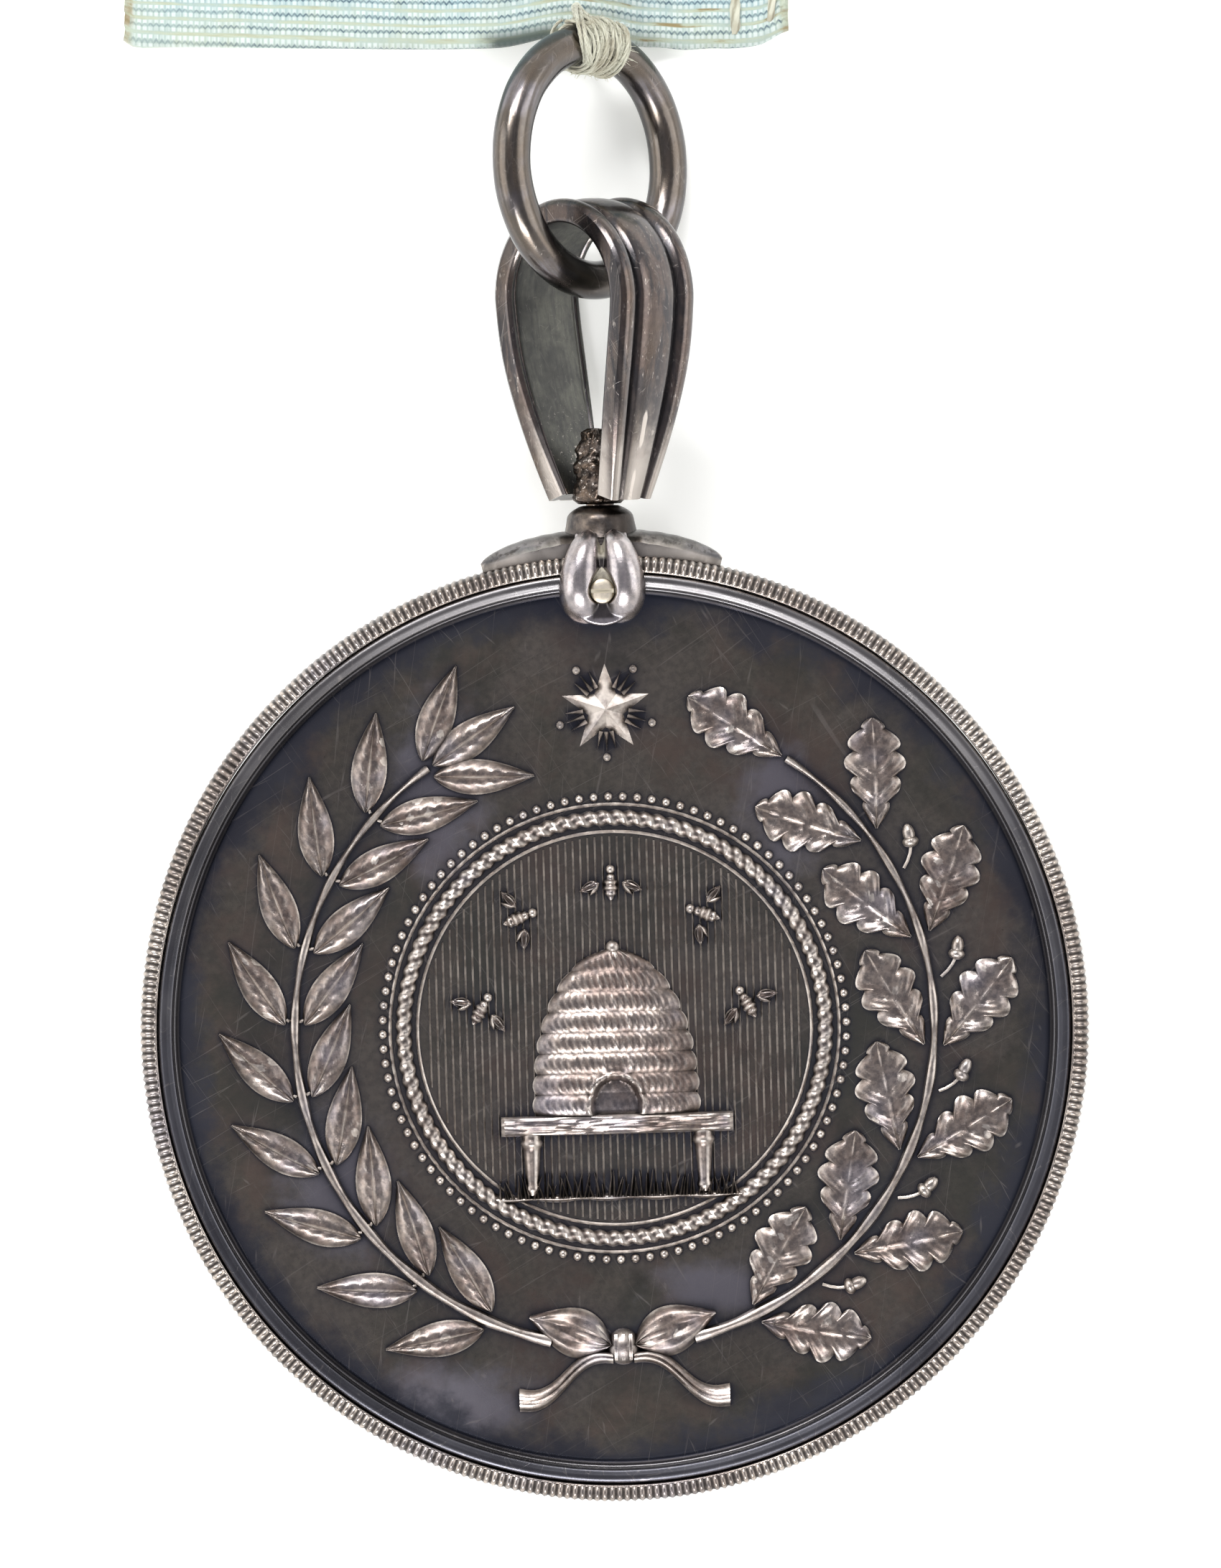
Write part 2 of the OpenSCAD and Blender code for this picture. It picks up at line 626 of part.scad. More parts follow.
module brooch_bar() color(bar_grey) laid() {
    bar_sleeve();
    translate([post_u, pin_v - post / 2, 0]) cube([post, post, bar_back + lap]);
    along_pin(pin_step_u) cylinder(r = pin_r, h = post_u - pin_step_u + 5 * lap);
    along_pin(pin_taper_u) cylinder(r = guard_r, h = pin_step_u - pin_taper_u + lap);
    along_pin(pin_tip_u) cylinder(r1 = pin_point_r, r2 = guard_r, h = pin_taper_u - pin_tip_u);
    translate([catch_u, catch_v, 0]) {
        cube([catch_long, catch_back, bar_back + lap]);
        cube([catch_long, catch_wide, catch_floor]);
        translate([0, catch_wide - catch_lip, 0]) cube([catch_long, catch_lip, catch_lip_high]);
    }
}

disc();
edge_band();
claw();
claw_screw();
bail();
ring();
thread_tie();
ribbon();
brooch_bar();
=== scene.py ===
"""Finished look of a struck silver award medal that lies on a table: toned disc with a wreath
and a beehive, reeded band, claw, swivelling bail, wire ring, thread tie, ribbon and brooch bar."""

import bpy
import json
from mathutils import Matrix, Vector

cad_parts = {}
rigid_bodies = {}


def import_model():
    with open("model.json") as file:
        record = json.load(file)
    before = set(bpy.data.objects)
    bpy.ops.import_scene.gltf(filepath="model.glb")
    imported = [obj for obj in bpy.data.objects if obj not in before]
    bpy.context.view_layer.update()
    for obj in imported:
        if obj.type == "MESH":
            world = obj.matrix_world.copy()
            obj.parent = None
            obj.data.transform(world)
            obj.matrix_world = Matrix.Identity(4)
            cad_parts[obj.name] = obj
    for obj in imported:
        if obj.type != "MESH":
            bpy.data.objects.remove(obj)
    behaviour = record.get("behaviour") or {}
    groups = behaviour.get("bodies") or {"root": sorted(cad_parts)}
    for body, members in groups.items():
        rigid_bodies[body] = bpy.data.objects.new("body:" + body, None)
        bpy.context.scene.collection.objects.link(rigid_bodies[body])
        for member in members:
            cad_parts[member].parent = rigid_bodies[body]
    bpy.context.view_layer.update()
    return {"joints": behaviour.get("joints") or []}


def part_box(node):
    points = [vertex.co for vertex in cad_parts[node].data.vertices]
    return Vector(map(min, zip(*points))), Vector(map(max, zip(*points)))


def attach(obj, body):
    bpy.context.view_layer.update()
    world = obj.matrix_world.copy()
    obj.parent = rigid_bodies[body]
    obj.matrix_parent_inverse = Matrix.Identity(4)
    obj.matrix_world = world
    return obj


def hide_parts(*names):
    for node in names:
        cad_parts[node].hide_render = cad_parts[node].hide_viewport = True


bl_info = {
    "name": "Award Medal",
    "version": (1, 0, 0),
    "blender": (4, 5, 0),
    "location": "View3D > Sidebar > Medal",
    "description": "Builds the finished pieces of a toned silver medal on a folded ribbon",
    "category": "Add Mesh",
}

import json
import random
from math import atan2, copysign, cos, exp, hypot, pi as PI, radians, sin, sqrt

import bmesh
import bpy
from mathutils import Matrix, Vector, noise

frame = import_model()

# Forms are modelled in millimetres, each in the frame of what carries it
MM = 0.001
TURN = 2 * PI


def moved(x=0.0, y=0.0, z=0.0, turn=0.0):
    """A turn of some degrees about Z, and then a move."""
    return Matrix.Translation((x, y, z)) @ Matrix.Rotation(radians(turn), 4, "Z")


def polar(r, a, z=0.0):
    return Vector((r * cos(a), r * sin(a), z))


def middle(node):
    low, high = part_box(node)
    return (low + high) / 2


# The swivel's axis tilts with the medal, whose middle is the middle of its band
SWIVEL_AXIS = Vector(frame["joints"][0]["axis"])
TILT = atan2(SWIVEL_AXIS.z, SWIVEL_AXIS.y)
CENTRE = middle("edge_band")
BAIL_Y = 30.05
BAIL_TURN = radians(41.6)
RIBBON_AT = (-26.5, 56.8, 0)
LAY = -1.6

SMALL = Matrix.Scale(MM, 4)
UPRIGHT = Matrix.Rotation(-PI / 2, 4, "X")
MIRRORED = Matrix.Scale(-1, 4, (1, 0, 0))
ON_MEDAL = Matrix.Translation(CENTRE) @ Matrix.Rotation(TILT, 4, "X") @ SMALL
IN_BAIL = ON_MEDAL @ moved(0, BAIL_Y) @ Matrix.Rotation(-BAIL_TURN, 4, "Y")
IN_RING = Matrix.Translation(middle("ring")) @ Matrix.Rotation(PI / 2 - BAIL_TURN, 4, "Y") @ SMALL
ON_TABLE = Matrix.Translation((0, CENTRE.y, 0)) @ SMALL
ON_CLOTH = ON_TABLE @ moved(*RIBBON_AT, LAY)

# Of each piece: its frame, its finishes, its body, the solid it stands for, that solid's slot, and the angle
# in degrees from which its edges are sharp
PIECES = {
    "struck_flan": (ON_MEDAL, ["Toned field"], "medal", "disc", "toned_silver", 50),
    "wreath_relief": (ON_MEDAL, ["Struck relief"], "medal", "disc", "toned_silver", 26),
    "beehive_relief": (ON_MEDAL, ["Struck relief"], "medal", "disc", "toned_silver", 38),
    "reeded_band": (ON_MEDAL, ["Reeded silver"], "medal", "edge_band", "band_silver", 60),
    "claw_lobes": (ON_MEDAL, ["Claw silver"], "medal", "claw", "claw_silver", 55),
    "claw_leaves": (ON_MEDAL, ["Claw edge"], "medal", "claw", "claw_silver", 30),
    "claw_collar": (ON_MEDAL, ["Brown collar"], "medal", "claw", "claw_silver", 45),
    "slotted_screw": (ON_MEDAL, ["Screw steel"], "medal", "claw_screw", "claw_silver", 30),
    "ribbed_bail": (IN_BAIL, ["Bail silver", "Bail inside"], "suspension", "bail", "bail_silver", 32),
    "solder_lump": (IN_BAIL, ["Solder"], "suspension", "bail", "bail_silver", 75),
    "swivel_stud": (IN_BAIL, ["Solder"], "suspension", "bail", "bail_silver", 38),
    "wire_ring": (IN_RING, ["Ring silver"], "suspension", "ring", "bail_silver", 60),
    "thread_tie_winding": (ON_TABLE, ["Cream thread"], "suspension", "thread_tie", "cream_thread", 60),
    "thread_fuzz": (ON_TABLE, ["Cream thread"], "suspension", "thread_tie", "cream_thread", 60),
    "folded_ribbon": (ON_CLOTH, ["Ribbed ribbon"], "suspension", "ribbon", "blue_ribbon", 180),
    "end_stitches": (ON_CLOTH, ["Cream thread"], "suspension", "ribbon", "cream_thread", 60),
}


def measure(name, about, value):
    return bpy.props.FloatProperty(name=name, description=about, default=value, unit="LENGTH")


def tint(name, about, *value):
    return bpy.props.FloatVectorProperty(name=name, description=about, default=value, size=3, min=0, max=1,
                                         subtype="COLOR")


class MedalSizes(bpy.types.PropertyGroup):
    wreath_r: measure("Wreath radius", "Radius of the wreath's stems", 0.0182)
    laurel_long: measure("Laurel leaf length", "Length of a laurel leaf", 0.0057)
    laurel_wide: measure("Laurel leaf width", "Width of a laurel leaf", 0.0019)
    oak_long: measure("Oak leaf length", "Length of an oak leaf", 0.0063)
    oak_wide: measure("Oak leaf width", "Width of an oak leaf", 0.0033)


class MedalColours(bpy.types.PropertyGroup):
    silver: tint("Silver", "Clean silver of the raised work", 0.32, 0.275, 0.25)
    worn: tint("Worn silver", "Silver worn bright on edges", 0.6, 0.545, 0.5)
    relief_tone: tint("Relief toning", "Brown toning of the raised work", 0.13, 0.098, 0.088)
    # Dark for tarnish and grime, also laid as painted shade in recesses, creases and corners
    recess: tint("Recess", "Tarnish in recesses", 0.035, 0.03, 0.028)
    field: tint("Field", "Grey brown of the toned field", 0.2, 0.18, 0.158)
    field_rust: tint("Field rust", "Reddish brown patches of the field", 0.17, 0.128, 0.108)
    field_gloom: tint("Field gloom", "Green black patches of the field", 0.075, 0.075, 0.066)
    field_brown: tint("Field toning", "Olive patches of the field", 0.112, 0.102, 0.086)
    halo: tint("Halo", "Blue black of the field round the relief", 0.045, 0.05, 0.072)
    edge_tone: tint("Edge toning", "Blue black of the field near its edge", 0.078, 0.079, 0.095)
    violet: tint("Violet bloom", "Violet bloom on toned silver", 0.3, 0.288, 0.33)
    band: tint("Band", "Silver of the reeded band", 0.47, 0.425, 0.385)
    rim: tint("Rim", "Polished rim of the disc", 0.17, 0.163, 0.167)
    claw: tint("Claw", "Polished violet grey silver of the claw", 0.46, 0.425, 0.43)
    polish: tint("Dried polish", "Cream polish left in the claw's hollow", 0.43, 0.395, 0.32)
    collar: tint("Collar", "Brown toned silver of the collar", 0.15, 0.122, 0.1)
    screw: tint("Screw", "Pale metal of the screw", 0.66, 0.59, 0.49)
    slot: tint("Screw slot", "Cream polish in the screw's slot", 0.85, 0.8, 0.67)
    bail: tint("Bail", "Gunmetal silver of the bail", 0.15, 0.132, 0.123)
    bail_inside: tint("Bail inside", "Matt green grey inside the bail", 0.14, 0.14, 0.125)
    groove: tint("Groove", "Blue black of the bail's grooves", 0.06, 0.06, 0.066)
    solder: tint("Solder", "Dark brown solder", 0.12, 0.09, 0.07)
    ring: tint("Ring", "Gunmetal silver of the ring", 0.158, 0.141, 0.126)
    thread: tint("Thread", "Cream thread", 0.54, 0.54, 0.44)
    thread_aged: tint("Aged thread", "Brown of the thread's dirty side", 0.24, 0.19, 0.11)
    ribbon: tint("Ribbon", "Pale blue of the ribbon", 0.24, 0.37, 0.42)
    ribbon_white: tint("Ribbon weft", "Pale weft of the ribbon", 0.36, 0.49, 0.52)
    ribbon_dot: tint("Ribbon dots", "White dots of the weave", 0.62, 0.68, 0.66)
    ribbon_navy: tint("Ribbon navy", "Dark blue line of the ribbon", 0.018, 0.05, 0.09)
    ribbon_cream: tint("Ribbon cream", "Green cream band between the ribs", 0.4, 0.44, 0.33)
    # Painted shadow: the dark green that stands for the shade in the fold by the tie
    ribbon_fold: tint("Ribbon fold", "Dark green of the soiled fold by the tie", 0.03, 0.05, 0.045)
    stain: tint("Ribbon stain", "Yellow brown stain", 0.22, 0.15, 0.045)
    bar: tint("Bar", "Satin white metal of the brooch bar", 0.4, 0.38, 0.36)
    table: tint("Table", "White table", 0.86, 0.86, 0.85)


def sizes():
    return bpy.context.scene.medal_sizes


def colours():
    return bpy.context.scene.medal_colours


def ease(t):
    t = min(max(t, 0.0), 1.0)
    return t * t * (3 - 2 * t)


def hump(x, half):
    """1 at x = 0, falling smoothly to 0 at half on either side."""
    return cos(PI / 2 * x / half) ** 2 if abs(x) < half else 0.0


def bell(x, half):
    return exp(-(x / half) ** 2)


def dome(t, power=0.5, bulge=2):
    """Height of a rounded section: 1 in its middle, t = 0, and 0 at t = 1 and -1."""
    return max(1 - abs(t) ** bulge, 0) ** power


def form():
    """An empty bmesh, with a layer that says how deep a place lies, from 0 to 1."""
    bm = bmesh.new()
    bm.verts.layers.float.new("deep")
    return bm


def depths(bm):
    return bm.verts.layers.float["deep"]


def join(bm, part, place=None):
    """Adds a part to a form, put in its place."""
    if place:
        bmesh.ops.transform(part, matrix=place, verts=part.verts)
    passing = bpy.data.meshes.new("passing")
    part.to_mesh(passing)
    part.free()
    bm.from_mesh(passing)
    bpy.data.meshes.remove(passing)


def close(bm):
    rims = [e for e in bm.edges if e.is_boundary]
    if rims:
        bmesh.ops.holes_fill(bm, edges=rims, sides=0)


def loft(bm, across, along, place):
    """Adds a closed skin: a grid whose corners go where place(s, t) says, with s and t from 0 to 1."""
    part = form()
    deep = depths(part)
    for c in bmesh.ops.create_grid(part, x_segments=across, y_segments=along, size=0.5)["verts"]:
        c.co, c[deep] = place(c.co.x + 0.5, c.co.y + 0.5)
    bmesh.ops.remove_doubles(part, verts=part.verts, dist=1e-4)
    close(part)
    join(bm, part)


def lathe(outline, steps, deep=0.0):
    """A form turned about Z from an outline of (radius, height) rows."""
    bm = form()
    corners = [bm.verts.new((r, 0, z)) for r, z in outline]
    for corner in corners:
        corner[depths(bm)] = deep
    edges = [bm.edges.new(pair) for pair in zip(corners, corners[1:])]
    bmesh.ops.spin(bm, geom=corners + edges, cent=(0, 0, 0), axis=(0, 0, 1), dvec=(0, 0, 0), angle=TURN,
                   steps=steps, use_merge=True, use_normal_flip=False, use_duplicate=False)
    bmesh.ops.remove_doubles(bm, verts=bm.verts, dist=1e-4)
    return bm


def fine_lathe(outline, steps, deep=0.0):
    """The same for hundreds of steps, where a spin takes minutes: a grid rolled round the axis."""
    rows = list(outline)
    if rows[0][0] > 0 and rows[-1][0] > 0:
        rows.append(rows[0])
    bm = form()

    def place(s, t):
        r, z = rows[round(s * (len(rows) - 1))]
        return polar(r, TURN * round(t * steps) / steps, z), deep

    loft(bm, len(rows) - 1, steps, place)
    return bm


def raised(bm, at, along, across, plan, rise, foot=-0.12):
    """Closed form on a ground: plan(u, t) gives its x and y, rise(u, t) its height, t from -1 to 1."""
    columns = across + 4

    def place(u, k):
        column = round(k * columns)
        t = min(max((column - 2) * 2 / across - 1, -1), 1)
        if column in (0, columns):
            t = 0
        under = column < 2 or column > columns - 2
        z = foot if under else rise(u, t)
        return at @ Vector((*plan(u, t), z)), 1 - ease(z / 0.55)

    loft(bm, along, columns, place)


def strand(bm, points, radius, side, plies=3, turns=1.0, faces=9, taper=0.0, closed=False):
    """A spun thread along points. side is a direction that the thread never runs along."""
    last = len(points) - 1

    def spot(s, t):
        i = round(s * last)
        after, before = ((i + 1) % last, (i - 1) % last) if closed else (min(i + 1, last), max(i - 1, 0))
        d = (points[after] - points[before]).normalized()
        x = (side - d * side.dot(d)).normalized()
        a = TURN * t
        groove = 0.5 - 0.5 * cos(plies * (a - turns * TURN * s))
        r = radius * (1 - 0.24 * groove) * (1 - taper * s)
        return points[i] + (x * cos(a) + d.cross(x) * sin(a)) * r, groove

    loft(bm, last, faces, spot)


def ball(bm, at, size, squeeze=(1, 1, 1), rings=8, deep=0.0):
    """A rounded bead; squeeze stretches it along its own axes."""
    part = form()
    shape = at @ Matrix.Diagonal((*squeeze, 1))
    bmesh.ops.create_uvsphere(part, u_segments=2 * rings, v_segments=rings, radius=size, matrix=shape)
    for v in part.verts:
        v[depths(part)] = deep
    join(bm, part)


def finish(name, bm):
    """Makes the form a piece: outward faces, smooth but for its sharp edges, riding on its body."""
    place, finishes, body, stands_for, slot, sharp = PIECES[name]
    bmesh.ops.recalc_face_normals(bm, faces=bm.faces)
    crease = radians(sharp)
    for face in bm.faces:
        face.smooth = True
    for edge in bm.edges:
        edge.smooth = edge.calc_face_angle(0.0) < crease
    bmesh.ops.transform(bm, matrix=place, verts=bm.verts)
    mesh = bpy.data.meshes.new(name)
    bm.to_mesh(mesh)
    bm.free()
    for label in finishes:
        mesh.materials.append(bpy.data.materials[label])
    piece = bpy.data.objects.new(name, mesh)
    bpy.context.scene.collection.objects.link(piece)
    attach(piece, body)
    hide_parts(stands_for)
    return piece


def melted(bm, voxel, passes):
    """The outer skin of overlapping forms as one smooth form."""
    bmesh.ops.recalc_face_normals(bm, faces=bm.faces)
    mesh = bpy.data.meshes.new("melting")
    bm.to_mesh(mesh)
    bm.free()
    lump = bpy.data.objects.new("melting", mesh)
    bpy.context.scene.collection.objects.link(lump)
    skin = lump.modifiers.new("skin", "REMESH")
    skin.mode = "VOXEL"
    skin.voxel_size = voxel
    relax = lump.modifiers.new("relax", "SMOOTH")
    relax.factor = 0.5
    relax.iterations = passes
    shape = bpy.data.meshes.new_from_object(lump.evaluated_get(bpy.context.evaluated_depsgraph_get()))
    made = form()
    made.from_mesh(shape)
    bpy.data.objects.remove(lump)
    for spent in (mesh, shape):
        bpy.data.meshes.remove(spent)
    return made


# Shader nodes

class Shade:
    """A value, colour or place that a shader node gives. Sums with it make further nodes."""

    def __init__(self, socket):
        self.socket = socket
        self.tree = socket.id_data

    def __add__(self, other):
        return sums("ADD", self, other)

    def __sub__(self, other):
        return sums("SUBTRACT", self, other)

    def __rsub__(self, other):
        return sums("SUBTRACT", other, self)

    def __mul__(self, other):
        return sums("MULTIPLY", self, other)

    def __truediv__(self, other):
        return sums("DIVIDE", self, other)

    def __abs__(self):
        return sums("ABSOLUTE", self)


def feed(socket, value):
    """Links a shade to a socket, or sets a plain value there."""
    if isinstance(value, Shade):
        value.tree.links.new(value.socket, socket)
    else:
        socket.default_value = (*value, 1) if socket.type == "RGBA" else value


def put(tree, kind, sockets=(), out=0, **settings):
    """Adds a node with its settings and the values of its inputs. Gives one of its outputs, or all for None."""
    made = tree.nodes.new("ShaderNode" + kind)
    for key, value in settings.items():
        setattr(made, key, value)
    for key, value in dict(sockets).items():
        feed(made.inputs[key], value)
    return [Shade(socket) for socket in made.outputs] if out is None else Shade(made.outputs[out])


def tree_of(*values):
    return next(value.tree for value in values if isinstance(value, Shade))


def sums(operation, a, b=0.0):
    return put(tree_of(a, b), "Math", {0: a, 1: b}, operation=operation)


def larger(a, b):
    return sums("MAXIMUM", a, b)


def fract(a):
    return sums("FRACT", a)


def between(value, low, high, top=1.0, base=0.0):
    """Smooth step from base to top, as a value passes from low to high."""
    return put(value.tree, "MapRange", {"Value": value, "From Min": low, "From Max": high, "To Min": base,
                                        "To Max": top}, interpolation_type="SMOOTHSTEP")


def fade(value, low, high, top=1.0, base=0.0):
    """Smooth step down from top to base, as a value passes from low to high."""
    return between(value, low, high, base, top)


def blend(share, under, over, mode="MIX"):
    return put(tree_of(share, under, over), "Mix", {0: share, 6: under, 7: over}, 2, data_type="RGBA",
               blend_type=mode)


def painted(colour, *coats):
    """A colour under coats of (share, colour), the last one outermost."""
    for share, coat in coats:
        colour = blend(share, colour, coat)
    return colour


def cloud(at, scale, detail=3.0, rough=0.55, distortion=0.0):
    return put(at.tree, "TexNoise", {"Vector": at, "Scale": scale, "Detail": detail, "Roughness": rough,
                                     "Distortion": distortion})


def parts(at):
    return put(at.tree, "SeparateXYZ", {0: at}, None)


def point(x, y, z=0.0):
    return put(x.tree, "CombineXYZ", {0: x, 1: y, 2: z})


def shifted(at, way):
    return put(at.tree, "VectorMath", {0: at, 1: way}, operation="ADD")


def stretched(at, x, y, z):
    return put(at.tree, "Mapping", {"Vector": at, "Scale": (x, y, z)})


def length(at):
    return put(at.tree, "VectorMath", {0: at}, "Value", operation="LENGTH")


def from_axis(at):
    return length(stretched(at, 1, 1, 0))


def depth_mark(at):
    """How deep a place lies, as its form says."""
    return put(at.tree, "Attribute", (), "Fac", attribute_name="deep")


def edges(at, low, high, top=1.0):
    """Where a form is convex enough to be worn."""
    return between(put(at.tree, "NewGeometry", (), "Pointiness"), low, high, top)


def occlusion_shade(at, reach, top=1.0, clear=0.95):
    """Painted shade from ambient occlusion: darkest in corners and creases, 0 in the open."""
    near = put(at.tree, "AmbientOcclusion", {"Distance": reach * MM}, "AO", samples=6, only_local=False)
    return fade(near, clear - 0.5, clear) * top


def patch(at, x, y, wide, tall):
    """Soft patch of given half sizes, with a ragged edge."""
    near = put(at.tree, "Mapping", {"Vector": at, "Location": (-x / wide, -y / tall, 0),
                                    "Scale": (1 / wide, 1 / tall, 0)})
    return fade(length(near) + cloud(at, 0.45, 4.0, 0.6) * 1.6, 1.1, 2.1)


def piece_coords(tree, place):
    """Object coordinates in millimetres, in the frame in which the form was modelled."""
    where, turn, scale = place.decompose()
    return put(tree, "Mapping", {"Vector": put(tree, "TexCoord", (), "Object"), "Location": where,
                                 "Rotation": turn.to_euler(), "Scale": scale}, vector_type="TEXTURE")


# Finishes

def group(name, inputs, outputs):
    """A new node group of named inputs, (name, kind, default) rows, and outputs, (name, kind) rows."""
    tree = bpy.data.node_groups.new(name, "ShaderNodeTree")
    for label, kind, value in inputs:
        socket = tree.interface.new_socket(label, in_out="INPUT", socket_type="NodeSocket" + kind)
        if value is not None:
            socket.default_value = value
    for label, kind in outputs:
        tree.interface.new_socket(label, in_out="OUTPUT", socket_type="NodeSocket" + kind)
    given = tree.nodes.new("NodeGroupInput").outputs
    return [Shade(given[row[0]]) for row in inputs], tree.nodes.new("NodeGroupOutput").inputs


def placed(tree, name, **values):
    """The outputs of a shared group, put in a tree with its own values."""
    sockets = {key.replace("_", " "): value for key, value in values.items()}
    return put(tree, "Group", sockets, None, node_tree=bpy.data.node_groups[name])


def toned_surface():
    """Shared group: clouds of toning, dark specks and mottling on old silver."""
    (at, silver, tone, bloom, scale, toning, specks, rough, mottle), out = group(
        "Toned surface",
        [("Vector", "Vector", None), ("Silver", "Color", (0.6, 0.56, 0.53, 1)),
         ("Tone", "Color", (0.2, 0.16, 0.14, 1)), ("Bloom", "Color", (0.28, 0.26, 0.36, 1)),
         ("Cloud scale", "Float", 0.3), ("Toning", "Float", 0.5), ("Specks", "Float", 0.3),
         ("Roughness", "Float", 0.25), ("Mottle", "Float", 1.0)],
        [("Color", "Color"), ("Roughness", "Float"), ("Height", "Float")])
    far = shifted(at, (31.0, 17.0, 5.0))
    toned = between(cloud(at, scale, 4.0, 0.6, 0.4), 0.34, 0.66) * toning
    bloomed = between(cloud(far, scale * 0.8, 2.0), 0.5, 0.72, 0.55)
    speck = between(cloud(at, 5.5, 2.0, 0.7), 0.6, 0.78)
    grain = cloud(at, 14.0, 3.0, 0.6)
    flecks = cloud(at, 2.4, 4.0, 0.65)
    colour = painted(silver, (toned, tone), (bloomed, bloom))
    colour = blend(speck * specks, colour, blend(0.7, colour, (0.03, 0.025, 0.02)))
    light = blend(1.0, colour, (1.3, 1.27, 1.24), "MULTIPLY")
    shade = blend(1.0, colour, (0.68, 0.69, 0.72), "MULTIPLY")
    glint = between(cloud(far, 6.5, 1.0), 0.7, 0.78, 0.5)
    fleck = painted(shade, (between(flecks, 0.35, 0.65), light), (glint, light))
    feed(out["Color"], blend(mottle, colour, fleck))
    feed(out["Roughness"], rough + toned * 0.12 + grain * 0.08)
    feed(out["Height"], grain * 0.5 + flecks * 0.9 - speck * 0.5)


def hairlines():
    """Shared group: fine wiping scratches that run in three directions."""
    (at, strength), out = group("Hairlines", [("Vector", "Vector", None), ("Strength", "Float", 1.0)],
                                [("Height", "Float")])
    marks = []
    for turn, stretch in ((0.5, 0.05), (-1.0, 0.07), (1.4, 0.04)):
        lain = put(at.tree, "Mapping", {"Vector": at, "Rotation": (0, 0, turn), "Scale": (1 / stretch, 0.8, 1.0)},
                   vector_type="TEXTURE")
        line = fade(put(at.tree, "TexVoronoi", {"Vector": lain, "Scale": 1.6}, feature="DISTANCE_TO_EDGE"), 0.0, 0.022)
        marks.append(line * between(cloud(lain, 2.1, 1.0), 0.56, 0.66))
    feed(out["Height"], larger(larger(marks[0], marks[1]), marks[2]) * (strength * -1.0))


def yarn():
    """Shared group: soft mottling and lint of thread and ribbon."""
    (at, clean, aged, age), out = group(
        "Yarn", [("Vector", "Vector", None), ("Clean", "Color", (0.8, 0.72, 0.58, 1)),
                 ("Aged", "Color", (0.5, 0.38, 0.24, 1)), ("Age", "Float", 0.4)],
        [("Color", "Color"), ("Height", "Float")])
    feed(out["Color"], blend(between(cloud(at, 0.55, 3.0), 0.42, 0.7) * age, clean, aged))
    feed(out["Height"], cloud(at, 9.0, 2.0, 0.7))


def fresh(name):
    """A new finish, as its node tree and the inputs of its shader."""
    material = bpy.data.materials.new(name)
    material.use_nodes = True
    return material.node_tree, material.node_tree.nodes["Principled BSDF"].inputs


def metal(name, place, silver, tone, bloom, scale, toning, specks, rough, scratch, bump, mottle, dress=None):
    """A toned silver. dress(at, colour, rough) may paint over the shared toning, and say how bare the metal is."""
    tree, shader = fresh(name)
    at = piece_coords(tree, place)
    colour, rough, height = placed(tree, "Toned surface", Vector=at, Silver=silver, Tone=tone, Bloom=bloom,
                                   Cloud_scale=scale, Toning=toning, Specks=specks, Roughness=rough, Mottle=mottle)
    bare = 1.0
    if dress:
        colour, rough, bare = (*dress(at, colour, rough), bare)[:3]
    lines, = placed(tree, "Hairlines", Vector=at, Strength=scratch)
    feed(shader["Base Color"], blend(lines * -0.45, colour, colours().worn))
    feed(shader["Roughness"], rough)
    feed(shader["Metallic"], bare)
    feed(shader["Normal"], put(tree, "Bump", {"Height": height + lines, "Strength": bump, "Distance": 0.02 * MM}))


def soft(name, place, clean, aged, dress):
    """A thread or cloth. dress(colour, height) paints over the shared mottling."""
    tree, shader = fresh(name)
    colour, height = dress(*placed(tree, "Yarn", Vector=piece_coords(tree, place), Clean=clean, Aged=aged, Age=0.5))
    feed(shader["Base Color"], colour)
    feed(shader["Roughness"], 0.85)
    feed(shader["Sheen Weight"], 0.3)
    feed(shader["Normal"], put(tree, "Bump", {"Height": height, "Strength": 0.4, "Distance": 0.05 * MM}))


# Violet patches of the field, toning that also stands for painted reflections of the lamps: middle, and half sizes
VIOLET_TONE_AND_SHEEN_SPOTS = ((-9.8, 13.6, 2.9, 5.8), (9.8, 12.4, 2.4, 3.8), (-16.0, -8.5, 3.0, 4.4), (-9.5, -21.2, 4.5, 2.4),
                (5.5, -14.8, 4.0, 1.6))


def field_dress(at, colour, rough):
    """Field in brown, olive, violet and blue black patches, with a dark edge, painted shade and tarnish round the
    relief, a groove, and a polished rim painted lighter toward the top.
    """
    c = colours()
    out = from_axis(at)
    rust = between(cloud(shifted(at, (-13.0, 44.0, 2.0)), 0.17, 5.0, 0.65, 0.3), 0.46, 0.66, 0.8)
    gloom = between(cloud(at, 0.12, 5.0, 0.65, 0.4), 0.46, 0.68, 0.8)
    bloom_and_sheen = [(patch(at, *spot) * 0.8, c.violet) for spot in VIOLET_TONE_AND_SHEEN_SPOTS]
    edge = between(out + cloud(at, 0.25, 5.0, 0.65) * 8.0, 26.6, 28.8, 0.95)
    # lit: the rim painted lighter toward the top, a painted sheen
    lit = between(parts(at)[1] + cloud(at, 0.3, 2.0) * 26.0, 10.0, 34.0, 1.0, 0.15)
    rim = between(out, 25.12, 25.2)
    groove = between(out, 24.75, 24.85) * fade(out, 25.12, 25.18)
    # The halo and the dark coats from occlusion are painted shade round the relief, standing also for tarnish
    return painted(colour, (rust, c.field_rust), (gloom, c.field_gloom), *bloom_and_sheen, (edge, c.edge_tone),
                   (occlusion_shade(at, 2.4, 1.0, 1.03), c.halo), (occlusion_shade(at, 0.3, 0.5), c.recess),
                   (rim, blend(lit, c.edge_tone, c.rim)), (groove * 0.85, c.rim)), rough + rim * 0.02


